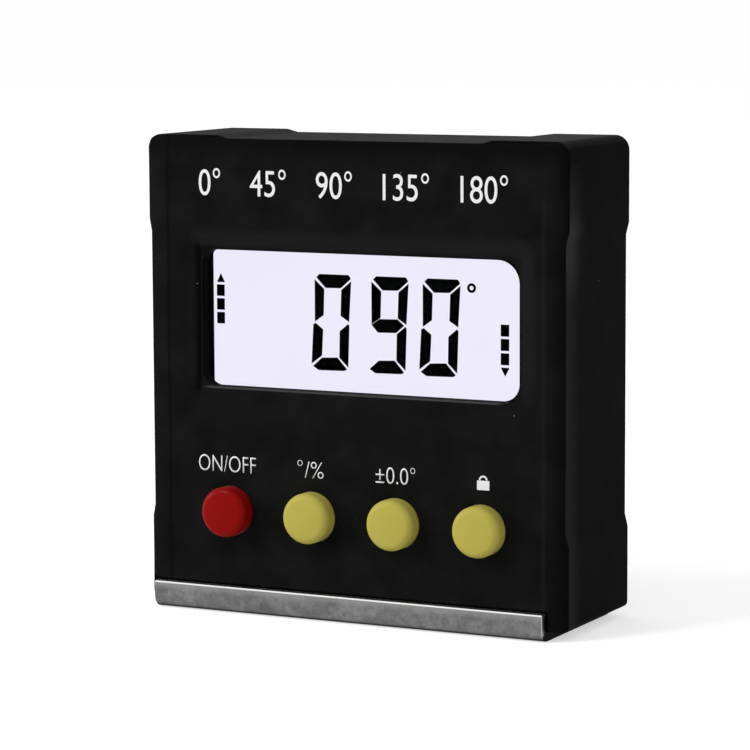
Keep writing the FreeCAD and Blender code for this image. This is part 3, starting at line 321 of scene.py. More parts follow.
metal = {"Metallic": 1.0}
finishes = {
    "black_abs": mouldedAbs(),
    "stainless_steel": rolledSteel(),
    "red_button": buttonPlastic("red_abs", "#8b0605", "#950907"),
    "yellow_button": buttonPlastic("yellow_abs", "#bdb14f", "#c5ba5a"),
    "polarizer": litFilm(),
    "window": clearAcrylic(),
    "cell_sleeve": sleeveFilm(),
    # nickel on a rare-earth magnet: bright, slightly warm, smooth
    "magnet_plating": plainFinish("nickel_plate", ("#b9b6ae", "#c6c3bb"), (0.16, 0.26), 3, 0.3, 0.004, metal),
    # zinc-plated steel screws: cool grey, a little cloudy
    "screw_steel": plainFinish("zinc_plated_steel", ("#9c9ea1", "#b3b5b8"), (0.26, 0.4), 0.9, 0.15, 0.006, metal),
    # acetal stems: white, waxy
    "switch_stem": plainFinish("white_acetal", ("#dedcd4", "#e8e6df"), (0.35, 0.45), 1.5, 0.25, 0.008),
    # glass-filled nylon switch bodies: dull black with pale fibres
    "switch_body": plainFinish("filled_nylon", ("#17181a", "#26272a"), (0.5, 0.65), 0.8, 0.15, 0.012),
    # tinned sheet: soft grey shine
    "tin_plate": plainFinish("tinned_steel", ("#b4b6b6", "#c8caca"), (0.25, 0.38), 1.2, 0.2, 0.006, metal),
    # soda-lime glass of the display cell: clear, faintly green
    "display_glass": plainFinish("soda_lime_glass", ("#e4efe9", "#eaf3ee"), (0.01, 0.03), 8, 4, 0.001,
                                 {"IOR": 1.52, "Transmission Weight": 1.0}),
    # double-sided foam tape: soft charcoal with open cells
    "adhesive": plainFinish("foam_tape", ("#1a1a1b", "#232324"), (0.8, 0.95), 1.5, 0.2, 0.04),
    # acrylic light guide: milky and smooth
    "light_guide": plainFinish("milky_acrylic", ("#e6eaee", "#f0f2f5"), (0.12, 0.2), 6, 0.6, 0.004,
                               {"IOR": 1.49, "Transmission Weight": 0.4}),
    # white reflector film: matt polyester
    "reflector": plainFinish("white_polyester", ("#eceded", "#f5f5f4"), (0.55, 0.7), 5, 0.3, 0.006),
    # white light-emitting diodes: yellow phosphor under clear resin
    "led": plainFinish("led_resin", ("#e3d77c", "#ece3a0"), (0.15, 0.25), 0.8, 0.2, 0.004),
    # display holder: white ABS
    "holder_plastic": plainFinish("white_abs", ("#dcdddb", "#e6e7e4"), (0.4, 0.5), 4, 0.3, 0.012),
    # zebra connector: pink silicone with dark carbon layers across it, 0.2 mm apart and drawn as 0.5 mm
    "elastomer": plainFinish("zebra_silicone", ("#3a3336", "#c79a9d"), (0.5, 0.6), 0.5, 0.3, 0.01,
                             stretch=(1, 0.05, 0.05)),
    # epoxy-glass board under green solder resist: the weave shows as faint relief
    "circuit_board": plainFinish("green_solder_resist", ("#0f4a2a", "#17603a"), (0.25, 0.38), 2.2, 0.4, 0.01),
    # black epoxy over the chip: smooth, slightly uneven
    "black_epoxy": plainFinish("black_epoxy", ("#0d0d0e", "#151516"), (0.28, 0.42), 1.8, 0.4, 0.02),
    # multilayer ceramic capacitors: buff ceramic
    "chip_ceramic": plainFinish("buff_ceramic", ("#9a7a55", "#ab8c66"), (0.5, 0.62), 0.6, 0.15, 0.006),
    # nickel-plated cell cans
    "cell_steel": plainFinish("nickel_plated_can", ("#aeb0b1", "#c0c2c3"), (0.2, 0.32), 2.4, 0.3, 0.005, metal),
    # nickel-plated spring steel: bright with faint drawing marks
    "spring_contact": plainFinish("plated_spring_steel", ("#b6b5b0", "#cac9c4"), (0.18, 0.3), 1.6, 0.2, 0.006, metal,
                                  stretch=(1, 1, 0.15)),
}
# screen-printed ink: chalk white, thin at its edges
whiteInk = plainFinish("white_screen_ink", ("#f1f1f1", "#fbfbfb"), (0.5, 0.65), 0.7, 0.18, 0.004,
                       {"Specular IOR Level": 0.3})
# driven liquid-crystal segments: they stop the light, so near black without a sheen
darkSegment = plainFinish("dark_crystal", ("#020202", "#050506"), (0.7, 0.8), 2, 0.4, 0.001,
                          {"Specular IOR Level": 0.0})
# black ink behind the window: matt, a little worn
blackInk = plainFinish("black_screen_ink", ("#0d0d0d", "#141414"), (0.7, 0.8), 2, 0.3, 0.002,
                       {"Specular IOR Level": 0.05})
slotOf = {node: piece.data.materials[0].name.split(".")[0] for node, piece in frame["nodes"].items()}
for node, slotName in slotOf.items():
    frame["nodes"][node].data.materials[0] = finishes[slotName]
print("materials ready:", len(finishes) + 3)


bodyOf = {node: piece["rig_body"] for node, piece in frame["nodes"].items()}


def place(name, mesh, body, material, slot=None, stands=()):
    # a finished piece: its place is in its mesh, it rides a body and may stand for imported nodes
    mesh.materials.clear()
    mesh.materials.append(material)
    piece = bpy.data.objects.new(name, mesh)
    scene.collection.objects.link(piece)
    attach(piece, body)
    if stands:
        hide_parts(*stands)
    return piece


def weldedCopy(node):
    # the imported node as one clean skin: its loose triangles are merged and its flats are whole again
    source = frame["nodes"][node].data
    loose = bpy.data.meshes.new(node + "_loose")
    loose.from_pydata([v.co for v in source.vertices], [], [list(p.vertices) for p in source.polygons])
    shape = bmesh.new()
    shape.from_mesh(loose)
    bpy.data.meshes.remove(loose)
    bmesh.ops.remove_doubles(shape, verts=shape.verts, dist=0.001 * mm)
    bmesh.ops.dissolve_limit(shape, angle_limit=math.radians(0.2), verts=shape.verts, edges=shape.edges)
    return shape


def roundEdges(shape, wanted, radius, steps=3, sharper=22):
    # rounds the edges whose middle, in mm, passes the wanted test
    chosen = []
    for edge in shape.edges:
        if len(edge.link_faces) != 2 or edge.calc_face_angle(0) < math.radians(sharper):
            continue
        middle = (edge.verts[0].co + edge.verts[1].co) / 2 / mm
        if wanted(*middle):
            chosen.append(edge)
    bmesh.ops.bevel(shape, geom=chosen, offset=radius * mm, offset_type="OFFSET", segments=steps, profile=0.5,
                    affect="EDGES", clamp_overlap=False, loop_slide=True)


def asMesh(shape, name):
    mesh = bpy.data.meshes.new(name)
    shape.to_mesh(mesh)
    shape.free()
    return mesh


def smoothed(shape, name, corner=32):
    # the skin as a mesh that shades smooth up to this corner, in degrees
    mesh = asMesh(shape, name)
    mesh.polygons.foreach_set("use_smooth", [True] * len(mesh.polygons))
    mesh.set_sharp_from_angle(angle=math.radians(corner))
    return mesh


def keepInside(shape, node):
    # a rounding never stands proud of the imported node
    low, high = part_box(node)
    for vertex in shape.verts:
        vertex.co = Vector([min(max(c, a), b) for c, a, b in zip(vertex.co, low, high)])


def evenShading(mesh, arcs=()):
    # flats keep straight normals beside a rounded edge, and each arc (x, z, radius) gets its own true normals
    holder = bpy.data.objects.new("shading", mesh)
    scene.collection.objects.link(holder)
    modifier = holder.modifiers.new("shading", "WEIGHTED_NORMAL")
    modifier.keep_sharp = True
    modifier.weight = 90
    graph = bpy.context.evaluated_depsgraph_get()
    even = bpy.data.meshes.new_from_object(holder.evaluated_get(graph), depsgraph=graph)
    bpy.data.objects.remove(holder)
    normals = [Vector(corner.vector) for corner in even.corner_normals]
    for face in even.polygons:
        if abs(face.normal.y) > 0.2:
            continue
        for loop in face.loop_indices:
            point = even.vertices[even.loops[loop].vertex_index].co / mm
            for x, z, radius in arcs:
                across = Vector((point.x - x, 0, point.z - z))
                onArc = abs(across.length - radius) < case["nearby"] and across.x * x > -0.01 and across.z > -0.01
                if onArc and face.normal.dot(across) > 0:
                    normals[loop] = across.normalized()
    even.normals_split_custom_set(normals)
    even.name = mesh.name
    return even


# The case halves, the door and the channel: edges as a mould and a press tool leave them
# (an arc of the outline is its middle's x and z and its radius)
case = {"frontY": -9.2, "rearY": 10, "sideX": 29.5, "topZ": 61.8, "edge": 0.15, "rearEdge": 0.2, "panelEdge": 0.15,
        "rimReach": 0.25, "nearby": 0.05, "arcs": ((28.1, 60.5, 1.9), (-28.1, 60.5, 1.9))}
sheet = {"ends": (-28.7, 27.2), "rise": 3.6, "corner": 0.25, "edge": 0.16}
lip = {"y": -9.14, "foot": 29.6, "edge": 0.12}


def isFrontRim(x, y, z):
    return y < case["frontY"] + case["rimReach"] and (abs(x) > case["sideX"] or z > case["topZ"])


def isRearRim(x, y, z):
    return y > case["rearY"] - case["nearby"] and (abs(x) > case["sideX"] or z > case["topZ"])


def isPanelEdge(x, y, z):
    return y > case["rearY"] - case["nearby"]


def isFlangeCorner(x, y, z):
    # the short edges through the flanges, at their upper ends
    return z > sheet["rise"] - 0.01 and min(abs(x - end) for end in sheet["ends"]) < 0.01


def isFlangeEdge(x, y, z):
    return z > sheet["rise"] - 0.01


def isLip(x, y, z):
    # the straight lower edge of the display opening
    return abs(y - lip["y"]) < 0.02 and abs(z - lip["foot"]) < 0.02


housing = weldedCopy("front_housing")
roundEdges(housing, isLip, lip["edge"], 2)
roundEdges(housing, isFrontRim, case["edge"], 3)
roundEdges(housing, isRearRim, case["rearEdge"], 3)
keepInside(housing, "front_housing")
place("case_shell", evenShading(smoothed(housing, "case_shell"), case["arcs"]), "case", finishes["black_abs"],
      "black_abs", ["front_housing"])
for node, name in (("rear_cover", "case_back"), ("battery_door", "door_panel")):
    shape = weldedCopy(node)
    roundEdges(shape, isPanelEdge, case["panelEdge"], 2, 40)
    keepInside(shape, node)
    place(name, evenShading(smoothed(shape, name)), bodyOf[node], finishes["black_abs"], "black_abs", [node])
channel = weldedCopy("base_channel")
roundEdges(channel, isFlangeCorner, sheet["corner"], 4, 60)
roundEdges(channel, isFlangeEdge, sheet["edge"], 2, 40)
keepInside(channel, "base_channel")
place("steel_channel", evenShading(smoothed(channel, "steel_channel")), "case", finishes["stainless_steel"],
      "stainless_steel", ["base_channel"])
print("case pieces ready")


# A button is a cap with a slightly crowned face, rounded rim and a collar that keeps it in the case
cap = {"front": -12.4, "crown": 0.12, "radius": 3.3, "rim": 0.95, "rimSteps": 8, "collarTop": -8.1, "collar": 4.0,
       "chamfer": 0.08, "fillet": 0.1, "foot": -7.5, "steps": 96, "height": 13.45}
buttons = {"power_button": (-17.85, "red_button"), "unit_button": (-5.8, "yellow_button"),
           "calibrate_button": (6.25, "yellow_button"), "hold_button": (18.3, "yellow_button")}


def capProfile():
    # (radius, y) from the middle of the face round to the middle of the foot
    flat = cap["radius"] - cap["rim"]
    points = [(0, cap["front"])]
    points += [(flat * t, cap["front"] + cap["crown"] * t * t) for t in (0.25, 0.5, 0.75, 0.9)]
    low = cap["front"] + cap["crown"]
    for i in range(cap["rimSteps"] + 1):
        angle = math.pi / 2 * i / cap["rimSteps"]
        points.append((flat + cap["rim"] * math.sin(angle), low + cap["rim"] * (1 - math.cos(angle))))
    fillet, chamfer = cap["fillet"], cap["chamfer"]
    points += [(cap["radius"], cap["collarTop"] - fillet), (cap["radius"] + fillet, cap["collarTop"]),
               (cap["collar"] - chamfer, cap["collarTop"]), (cap["collar"], cap["collarTop"] + chamfer),
               (cap["collar"], cap["foot"] - chamfer), (cap["collar"] - chamfer, cap["foot"]), (0, cap["foot"])]
    return points


def turned(profile, steps, centre):
    # a closed body turned about a line along y; the profile starts and ends on that line
    shape = bmesh.new()
    rings = []
    for radius, y in profile:
        if radius == 0:
            rings.append([shape.verts.new((centre[0] * mm, y * mm, centre[1] * mm))])
            continue
        ring = []
        for k in range(steps):
            angle = 2 * math.pi * k / steps
            ring.append(shape.verts.new(((centre[0] + radius * math.cos(angle)) * mm, y * mm,
                                         (centre[1] + radius * math.sin(angle)) * mm)))
        rings.append(ring)
    for first, second in zip(rings, rings[1:]):
        for k in range(steps):
            after = (k + 1) % steps
            corners = [first[k % len(first)], first[after % len(first)], second[after % len(second)],
                       second[k % len(second)]]
            shape.faces.new(list(dict.fromkeys(corners)))
    bmesh.ops.recalc_face_normals(shape, faces=shape.faces)
    return shape


for node, (across, slot) in buttons.items():
    shape = turned(capProfile(), cap["steps"], (across, cap["height"]))
    place(node + "_cap", smoothed(shape, node + "_cap", 40), node, finishes[slot], slot, [node])
print("buttons ready")


# Corners of the display cells, in mm from a digit's lower left corner; each digit leans a little to the right
digitParts = {
    "top": ((0.19, 12.02), (0.62, 12.45), (4.83, 12.45), (5.16, 11.95), (3.76, 10.75), (1.6, 10.71)),
    "upperLeft": ((-0.04, 11.73), (1.37, 10.52), (1.42, 7.17), (0.22, 6.29)),
    "upperRight": ((5.22, 11.67), (3.88, 10.51), (3.92, 7.18), (5.14, 6.43)),
    "middle": ((0.21, 6.18), (1.3, 6.97), (3.85, 7.03), (4.82, 6.26), (3.75, 5.32), (1.17, 5.26)),
    "lowerLeft": ((0, 5.92), (0.35, 6.08), (1.42, 5.28), (1.39, 1.92), (-0.04, 0.81)),
    "lowerRight": ((5.0, 6.14), (5.2, 5.87), (5.26, 0.53), (3.96, 1.76), (3.87, 5.14)),
    "bottom": ((0.17, 0.51), (1.02, 0), (4.73, 0.06), (5.07, 0.29), (3.64, 1.72), (1.43, 1.61)),
}
digitShapes = {"0": ("top", "upperLeft", "upperRight", "lowerLeft", "lowerRight", "bottom"),
               "9": ("top", "upperLeft", "upperRight", "middle", "lowerRight", "bottom")}
display = {"shown": (("0", -7.53), ("9", 0.68), ("0", 7.98)), "foot": 32.15, "lean": 0.047, "bold": 0.02,
           "front": -6.34, "back": -6.305, "ring": (15.31, 43.62), "ringOuter": 0.62, "ringInner": 0.28,
           "pointers": (((-21.5, 43.02), (-20.34, 43.02), (-20.92, 44.2)),
                        ((19.36, 33.75), (20.56, 33.75), (19.96, 32.63)))}
# A black frame printed behind the window hides the border of the display; its right corners are the rounder ones.
# Its corners go anticlockwise from the upper right one, and it reaches to the window's own edge.
blind = {"x": (-22.0, 21.95), "z": (29.5, 47.3), "corners": (2.95, 0.7, 0.7, 2.2), "inset": 0.1, "outerCorner": 0.3,
         "front": -6.348, "back": -6.343, "steps": 8}


def addPrism(shape, outline, front, back):
    # a thin closed plate with this outline (x, z), facing the front
    near = [shape.verts.new((x * mm, front * mm, z * mm)) for x, z in outline]
    far = [shape.verts.new((x * mm, back * mm, z * mm)) for x, z in outline]
    shape.faces.new(near)
    shape.faces.new(far)
    for k in range(len(outline)):
        after = (k + 1) % len(outline)
        shape.faces.new((near[k], near[after], far[after], far[k]))


def addRing(shape, centre, outer, inner, front, back, steps=40, start=0.0, sweep=2 * math.pi):
    # a flat ring, or an open arc where the sweep is less than a full turn
    whole = abs(sweep - 2 * math.pi) < 1e-6
    count = steps if whole else steps + 1
    rows = []
    for k in range(count):
        angle = start + sweep * k / steps
        direction = (math.cos(angle), math.sin(angle))
        rows.append([shape.verts.new(((centre[0] + r * direction[0]) * mm, y * mm, (centre[1] + r * direction[1]) * mm))
                     for r, y in ((outer, front), (inner, front), (inner, back), (outer, back))])
    for k in range(steps):
        first, second = rows[k], rows[(k + 1) % count]
        for j in range(4):
            shape.faces.new((first[j], first[(j + 1) % 4], second[(j + 1) % 4], second[j]))
    if not whole:
        shape.faces.new(rows[0])
        shape.faces.new(rows[-1])


def bolder(outline):
    # every corner moves away from the outline's middle, along both axes
    x, z = (sum(values) / len(outline) for values in zip(*outline))
    return [(u + math.copysign(display["bold"], u - x), v + math.copysign(display["bold"], v - z)) for u, v in outline]


marks = bmesh.new()
for digit, left in display["shown"]:
    for part in digitShapes[digit]:
        outline = [(left + x + display["lean"] * z, display["foot"] + z) for x, z in bolder(digitParts[part])]
        addPrism(marks, outline, display["front"], display["back"])
for outline in display["pointers"]:
    addPrism(marks, outline, display["front"], display["back"])
addRing(marks, display["ring"], display["ringOuter"], display["ringInner"], display["front"], display["back"])
bmesh.ops.recalc_face_normals(marks, faces=marks.faces)
place("display_marks", asMesh(marks, "display_marks"), "case", darkSegment)


def roundedLoop(low, high, foot, top, corners):
    # a rectangle with rounded corners, anticlockwise seen from the front, with a fixed count of points
    points = []
    for turn, (x, z) in enumerate(((high, top), (low, top), (low, foot), (high, foot))):
        outX, outZ = (1, -1, -1, 1)[turn], (1, 1, -1, -1)[turn]
        for k in range(blind["steps"] + 1):
            angle = math.pi / 2 * (turn + k / blind["steps"])
            points.append((x - outX * corners[turn] + corners[turn] * math.cos(angle),
                           z - outZ * corners[turn] + corners[turn] * math.sin(angle)))
    return points


blindShape = bmesh.new()
rows = []
windowLow, windowHigh = (Vector(corner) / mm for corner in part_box("display_window"))
inner = roundedLoop(*blind["x"], *blind["z"], blind["corners"])
outer = roundedLoop(windowLow.x + blind["inset"], windowHigh.x - blind["inset"], windowLow.z + blind["inset"],
                    windowHigh.z - blind["inset"], [blind["outerCorner"]] * 4)
for loop, y in ((inner, blind["front"]), (outer, blind["front"]), (outer, blind["back"]), (inner, blind["back"])):
    rows.append([blindShape.verts.new((x * mm, y * mm, z * mm)) for x, z in loop])
for first, second in zip(rows, rows[1:] + rows[:1]):
    for k in range(len(first)):
        after = (k + 1) % len(first)
        blindShape.faces.new((first[k], first[after], second[after], second[k]))
bmesh.ops.recalc_face_normals(blindShape, faces=blindShape.faces)
place("display_blind", asMesh(blindShape, "display_blind"), "case", blackInk)
print("display marks ready")


def newTree(name, sockets):
    # a Geometry Nodes tree with a geometry input and output, and these named inputs beside them
    tree = bpy.data.node_groups.new(name, "GeometryNodeTree")
    tree.interface.new_socket("Geometry", in_out="INPUT", socket_type="NodeSocketGeometry")
    for label, kind in sockets.items():
        tree.interface.new_socket(label, in_out="INPUT", socket_type=kind)
    tree.interface.new_socket("Geometry", in_out="OUTPUT", socket_type="NodeSocketGeometry")
    return tree, addNode(tree, "NodeGroupInput").outputs, addNode(tree, "NodeGroupOutput")


def bake(name, tree, points, values):
    # runs the tree on these points and returns the result as a plain mesh
    seedMesh = bpy.data.meshes.new(name + "_points")
    seedMesh.from_pydata([Vector(p) * mm for p in points], [], [])
    holder = bpy.data.objects.new(name + "_points", seedMesh)
    scene.collection.objects.link(holder)
    modifier = holder.modifiers.new(name, "NODES")
    modifier.node_group = tree
    for item in tree.interface.items_tree:
        if item.item_type == "SOCKET" and item.in_out == "INPUT" and item.name in values:
            modifier[item.identifier] = values[item.name]
    graph = bpy.context.evaluated_depsgraph_get()
    mesh = bpy.data.meshes.new_from_object(holder.evaluated_get(graph), preserve_all_data_layers=True, depsgraph=graph)
    mesh.name = name
    holder.modifiers.remove(modifier)
    bpy.data.objects.remove(holder)
    bpy.data.meshes.remove(seedMesh)
    return mesh


# Bars beside the digits: a short column of blocks that starts at each point
bars = {"starts": ((-20.96, -6.3225, 38.33), (19.935, -6.3225, 34.82)), "count": 3, "pitch": 1.81,
        "size": (1.16, 0.035, 1.5)}
barTree, given, out = newTree("barColumn", {"Count": "NodeSocketInt", "Pitch": "NodeSocketFloat",
                                            "Size": "NodeSocketVector", "Ink": "NodeSocketMaterial"})
step = addNode(barTree, "ShaderNodeCombineXYZ", {"Z": given["Pitch"]}).outputs[0]
column = addNode(barTree, "GeometryNodeMeshLine", {"Count": given["Count"], "Offset": step}).outputs[0]
block = addNode(barTree, "GeometryNodeMeshCube", {"Size": given["Size"]}).outputs[0]
blocks = addNode(barTree, "GeometryNodeInstanceOnPoints", {"Points": column, "Instance": block}).outputs[0]
spread = addNode(barTree, "GeometryNodeInstanceOnPoints", {"Points": given["Geometry"], "Instance": blocks}).outputs[0]
solid = addNode(barTree, "GeometryNodeRealizeInstances", {"Geometry": spread}).outputs[0]
inked = addNode(barTree, "GeometryNodeSetMaterial", {"Geometry": solid, "Material": given["Ink"]}).outputs[0]
fill(barTree, out, {"Geometry": inked})
barMesh = bake("display_bars", barTree, bars["starts"],
               {"Count": bars["count"], "Pitch": bars["pitch"] * mm, "Size": [s * mm for s in bars["size"]],
                "Ink": darkSegment})
place("display_bars", barMesh, "case", darkSegment)

# Screws: one head and thread, set on every screw's place and given a turn of its own
screwTree, given, out = newTree("screwSet", {"Screw": "NodeSocketObject", "Aim": "NodeSocketVector",
                                             "Seed": "NodeSocketInt", "Steel": "NodeSocketMaterial"})
model = addNode(screwTree, "GeometryNodeObjectInfo", {"Object": given["Screw"]}).outputs["Geometry"]
aim = addNode(screwTree, "FunctionNodeEulerToRotation", {"Euler": given["Aim"]}).outputs[0]
seated = addNode(screwTree, "GeometryNodeInstanceOnPoints", {"Points": given["Geometry"], "Instance": model,
                                                            "Rotation": aim}).outputs[0]
chance = addNode(screwTree, "FunctionNodeRandomValue", {"Seed": given["Seed"]}, data_type="FLOAT")
chance.inputs[3].default_value = 2 * math.pi
twist = addNode(screwTree, "ShaderNodeCombineXYZ", {"Z": chance.outputs[1]}).outputs[0]
turnedSet = addNode(screwTree, "GeometryNodeRotateInstances", {"Instances": seated, "Rotation": twist}).outputs[0]
solid = addNode(screwTree, "GeometryNodeRealizeInstances", {"Geometry": turnedSet}).outputs[0]
plated = addNode(screwTree, "GeometryNodeSetMaterial", {"Geometry": solid, "Material": given["Steel"]}).outputs[0]
fill(screwTree, out, {"Geometry": plated})

screw = {"head": 1.9, "dome": 0.35, "headHeight": 1.2, "edge": 0.08, "shank": 0.95, "crest": 0.2, "pitch": 0.8,
         "tip": 0.5, "slot": 0.5, "slotReach": 1.15, "slotDepth": 0.75, "slotTaper": 0.35, "overcut": 0.2, "steps": 48}
screwSets = {
    "cover_screws": {"points": [(x, 9.9, z) for x in (-26, 26) for z in (4.8, 58.4)], "aim": (-90, 0, 0),
                     "length": 7.0, "seed": 3, "countersunk": False},
    "base_screws": {"points": [(x, 0, 0.1) for x in (-20.5, 20.5)], "aim": (180, 0, 0),
                    "length": 5.05, "seed": 5, "countersunk": True},
    "board_screws": {"points": [(x, -2.1, z) for x, z in ((-25.6, 9.9), (25.6, 9.9), (-18, 53.3), (18, 53.3))],
                     "aim": (-90, 0, 0), "length": 4.6, "seed": 8, "countersunk": False},
}


def screwModel(name, length, countersunk):
    # a cross-recess screw with its face at z = 0 and its shank below
    low = screw["headHeight"]
    profile = [(0, 0), (screw["head"] * 0.5, -0.04), (screw["head"] * 0.8, -screw["dome"] * 0.5),
               (screw["head"] * 0.96, -screw["dome"]), (screw["head"], -screw["dome"] - 0.15)]
    if countersunk:
        profile = [(0, 0), (screw["head"] - 0.1, 0), (screw["head"], -0.08), (screw["head"], -0.2)]
    else:
        profile += [(screw["head"], -low + screw["edge"]), (screw["head"] - screw["edge"], -low)]
    profile.append((screw["shank"], -low))
    depth = low
    while depth + screw["pitch"] < length - screw["tip"]:
        profile += [(screw["shank"], -depth - 0.3 * screw["pitch"]),
                    (screw["shank"] + screw["crest"], -depth - 0.6 * screw["pitch"]),
                    (screw["shank"], -depth - 0.9 * screw["pitch"])]
        depth += screw["pitch"]
    profile += [(screw["shank"], -length + screw["tip"]), (screw["shank"] * 0.5, -length), (0, -length)]
    body = turned(profile, screw["steps"], (0, 0))
    bmesh.ops.rotate(body, verts=body.verts, matrix=Matrix.Rotation(math.radians(90), 3, "X"))
    blank = bpy.data.objects.new(name, asMesh(body, name))
    cross = bmesh.new()
    for turn in (0, 90):
        reach, half, over, depth = screw["slotReach"], screw["slot"] / 2, screw["overcut"], -screw["slotDepth"]
        ends = [(-reach, half, over), (reach, half, over), (reach * screw["slotTaper"], half / 2, depth),
                (-reach * screw["slotTaper"], half / 2, depth)]
        arm = [cross.verts.new(Vector((x, side * y, z)) * mm) for side in (-1, 1) for x, y, z in ends]
        cross.faces.new(arm[:4])
        cross.faces.new(arm[4:])
        for k in range(4):
            cross.faces.new((arm[k], arm[(k + 1) % 4], arm[4 + (k + 1) % 4], arm[4 + k]))
        bmesh.ops.rotate(cross, verts=arm, matrix=Matrix.Rotation(math.radians(turn), 3, "Z"))
    bmesh.ops.recalc_face_normals(cross, faces=cross.faces)
    tool = bpy.data.objects.new(name + "_cross", asMesh(cross, name + "_cross"))
    for each in (blank, tool):
        scene.collection.objects.link(each)
    cut = blank.modifiers.new("recess", "BOOLEAN")
    cut.object, cut.operation, cut.solver, cut.use_self = tool, "DIFFERENCE", "EXACT", True
    graph = bpy.context.evaluated_depsgraph_get()
    finished = bpy.data.meshes.new_from_object(blank.evaluated_get(graph), depsgraph=graph)
    blank.modifiers.clear()
    blank.data = finished
    bpy.data.objects.remove(tool)
    return blank


for node, made in screwSets.items():
    model = screwModel(node + "_model", made["length"], made["countersunk"])
    mesh = bake(node + "_set", screwTree, made["points"],
                {"Screw": model, "Aim": [math.radians(a) for a in made["aim"]], "Seed": made["seed"],
                 "Steel": finishes["screw_steel"]})
    bpy.data.objects.remove(model)
    shape = bmesh.new()
    shape.from_mesh(mesh)
    bmesh.ops.remove_doubles(shape, verts=shape.verts, dist=0.001 * mm)
    place(node + "_set", smoothed(shape, node + "_set", 35), "case", finishes["screw_steel"], "screw_steel", [node])
print("repeated pieces ready")


printing = {
    "face": -10.0, "thickness": 0.02, "capHeight": 3.3, "foot": 54.65, "thinner": 0.012,
    "scale": ("0°", "45°", "90°", "135°", "180°"), "scaleEnds": (-22.0, 22.0),
    "narrow": 0.82, "labelHeight": 2.15, "labelFoot": 18.55,
    "labels": (("ON/OFF", -18.18, 8.5), ("°/%", -5.9, 3.8), ("±0.0°", 6.3, 5.6)),
    "lock": {"x": 18.6, "foot": 18.62, "half": 0.85, "tall": 1.2, "bowFoot": 1.25, "bowOuter": 0.6, "bowInner": 0.38},
}


def glyphs(text, thinner=0.0):
    # the text at size 1 as a flat mesh, lying in its own x-y plane
    curve = bpy.data.curves.new("lettering", "FONT")
    curve.body = text
    curve.align_x = "CENTER"
    curve.offset = -thinner
    holder = bpy.data.objects.new("lettering", curve)
    scene.collection.objects.link(holder)
    graph = bpy.context.evaluated_depsgraph_get()
    mesh = bpy.data.meshes.new_from_object(holder.evaluated_get(graph), depsgraph=graph)
    bpy.data.objects.remove(holder)
    bpy.data.curves.remove(curve)
    return mesh


def extent(mesh, axis):
    values = [v.co[axis] for v in mesh.vertices]
    return min(values), max(values)


digitTall = extent(glyphs("H"), 1)[1]


def addLettering(shape, text, middle, foot, height, width=None, thinner=0.0):
    # sets one line of printing on the panel, with its capitals this tall
    mesh = glyphs(text, thinner)
    low, high = extent(mesh, 0)
    upright = height / digitTall
    across = upright * printing["narrow"] if width is None else width / (high - low)
    part = bmesh.new()
    part.from_mesh(mesh)
    bpy.data.meshes.remove(mesh)
    bmesh.ops.remove_doubles(part, verts=part.verts, dist=1e-5)
    grown = bmesh.ops.extrude_face_region(part, geom=part.faces[:])
    lifted = [g for g in grown["geom"] if isinstance(g, bmesh.types.BMVert)]
    for vertex in lifted:
        vertex.co.z = 1
    for vertex in part.verts:
        x, y, z = vertex.co
        vertex.co = Vector((middle + (x - (low + high) / 2) * across, printing["face"] - z * printing["thickness"],
                            foot + y * upright)) * mm
    bmesh.ops.recalc_face_normals(part, faces=part.faces)
    made = asMesh(part, "line")
    shape.from_mesh(made)
    bpy.data.meshes.remove(made)


scaleShape = bmesh.new()
narrowed = printing["capHeight"] / digitTall * printing["narrow"]
spans = [extent(glyphs(text), 0) for text in printing["scale"]]
widths = [(high - low) * narrowed for low, high in spans]
left, right = printing["scaleEnds"]
gap = (right - left - sum(widths)) / (len(widths) - 1)      # the same space between every two numbers
for text, width in zip(printing["scale"], widths):
    addLettering(scaleShape, text, left + width / 2, printing["foot"], printing["capHeight"], width)
    left += width + gap
place("panel_scale", asMesh(scaleShape, "panel_scale"), "case", whiteInk)

labelShape = bmesh.new()
for text, middle, width in printing["labels"]:
    addLettering(labelShape, text, middle, printing["labelFoot"], printing["labelHeight"], width,
                 printing["thinner"])
# a small padlock: its body and its bow
lock = printing["lock"]
left, right, foot, top = lock["x"] - lock["half"], lock["x"] + lock["half"], lock["foot"], lock["foot"] + lock["tall"]
inkFront, inkBack = printing["face"] - printing["thickness"], printing["face"]
addPrism(labelShape, [(left, foot), (right, foot), (right, top), (left, top)], inkFront, inkBack)
addRing(labelShape, (lock["x"], foot + lock["bowFoot"]), lock["bowOuter"], lock["bowInner"], inkFront, inkBack, 24,
        0.0, math.pi)
bmesh.ops.recalc_face_normals(labelShape, faces=labelShape.faces)
place("panel_labels", asMesh(labelShape, "panel_labels"), "case", whiteInk)
print("printing ready")


roundNodes = [node for node in frame["nodes"]
              if node.endswith(("_cell", "_sleeve", "_stem", "_contact", "_switch_cover"))
              or node in ("base_magnets", "crystal", "processor_blob")]
for node in roundNodes:
    place(node + "_skin", smoothed(weldedCopy(node), node + "_skin"), bodyOf[node], finishes[slotOf[node]],
          slotOf[node], [node])
print("inside parts ready:", len(roundNodes))


# The floor, the lamps and the camera are placed in metres
studio = {"floor": 30.0, "floorColour": "#e6e6e6", "floorLift": 0.55, "paperGrain": 2, "paperRelief": 0.05,
          "ambient": 0.55, "aim": (0, 0, 0.031),
          "lamps": {"key": {"at": (-0.5, -0.7, 0.9), "size": 0.3, "watts": 4.4},
                    "side": {"at": (-0.8, -0.4, 0.3), "size": 0.2, "watts": 2.2}}}


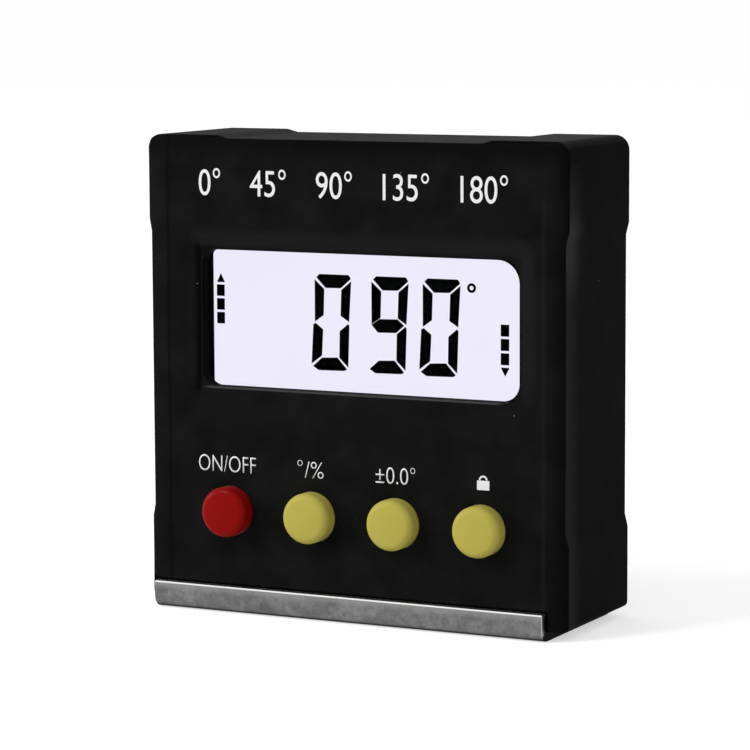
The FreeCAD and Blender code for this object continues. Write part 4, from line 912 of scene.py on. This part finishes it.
def backdropRays(tree):
    # 1 for the rays that show the backdrop: the camera's, and those that metal and glass send on
    path = addNode(tree, "ShaderNodeLightPath").outputs
    seen = addNode(tree, "ShaderNodeMath", {0: path["Is Camera Ray"], 1: path["Is Glossy Ray"]}, operation="MAXIMUM")
    return addNode(tree, "ShaderNodeMath", {0: seen.outputs[0], 1: path["Is Transmission Ray"]},
                   operation="MAXIMUM").outputs[0]


world = bpy.data.worlds.new("studio")
world.use_nodes = True
scene.world = world
tree = world.node_tree
tree.nodes.clear()
room = addNode(tree, "ShaderNodeBackground", {"Color": (1, 1, 1, 1), "Strength": studio["ambient"]})
white = addNode(tree, "ShaderNodeBackground", {"Color": (1, 1, 1, 1), "Strength": 1.0})
mixed = addNode(tree, "ShaderNodeMixShader", {0: backdropRays(tree), 1: room.outputs[0], 2: white.outputs[0]})
addNode(tree, "ShaderNodeOutputWorld", {"Surface": mixed.outputs[0]})

floorMesh = bpy.data.meshes.new("floor")
half = studio["floor"]
floorMesh.from_pydata([(-half, -half, 0), (half, -half, 0), (half, half, 0), (-half, half, 0)], [], [(0, 1, 2, 3)])
floor = bpy.data.objects.new("floor", floorMesh)
scene.collection.objects.link(floor)
paper, tree, shader, onFloor = startMaterial("seamless_paper")     # matt card: pale, no sheen
texture = addNode(tree, "ShaderNodeTexNoise", {"Vector": onFloor, "Scale": perMetre(studio["paperGrain"]),
                                               "Detail": 2})
bump = addNode(tree, "ShaderNodeBump", {"Height": texture.outputs[0], "Strength": 0.05,
                                        "Distance": studio["paperRelief"] * mm})
glow = addNode(tree, "ShaderNodeMath", {0: backdropRays(tree), 1: studio["floorLift"]}, operation="MULTIPLY")
fill(tree, shader, {"Base Color": linear(studio["floorColour"]), "Roughness": 0.9, "Specular IOR Level": 0.0,
                    "Normal": bump.outputs["Normal"], "Emission Color": (1, 1, 1, 1),
                    "Emission Strength": glow.outputs[0]})
floorMesh.materials.append(paper)

for name, made in studio["lamps"].items():
    lampData = bpy.data.lights.new(name, "AREA")
    lampData.shape, lampData.size, lampData.energy = "SQUARE", made["size"], made["watts"]
    lamp = bpy.data.objects.new(name, lampData)
    lamp.location = made["at"]
    lamp.rotation_euler = (Vector(studio["aim"]) - lamp.location).to_track_quat("-Z", "Y").to_euler()
    scene.collection.objects.link(lamp)

# the photograph's view: a long lens, a little above the object and to its right
view = {"at": (0.1872632, -0.3726671, 0.0821752), "turn": (1.4489829, 0.0047912, 0.4684775), "lens": 154.853}
cameraData = bpy.data.cameras.new("camera")
cameraData.lens, cameraData.sensor_width, cameraData.clip_start = view["lens"], 36, 0.01
camera = bpy.data.objects.new("camera", cameraData)
camera.location, camera.rotation_euler = view["at"], view["turn"]
scene.collection.objects.link(camera)
scene.camera = camera
print("studio ready")
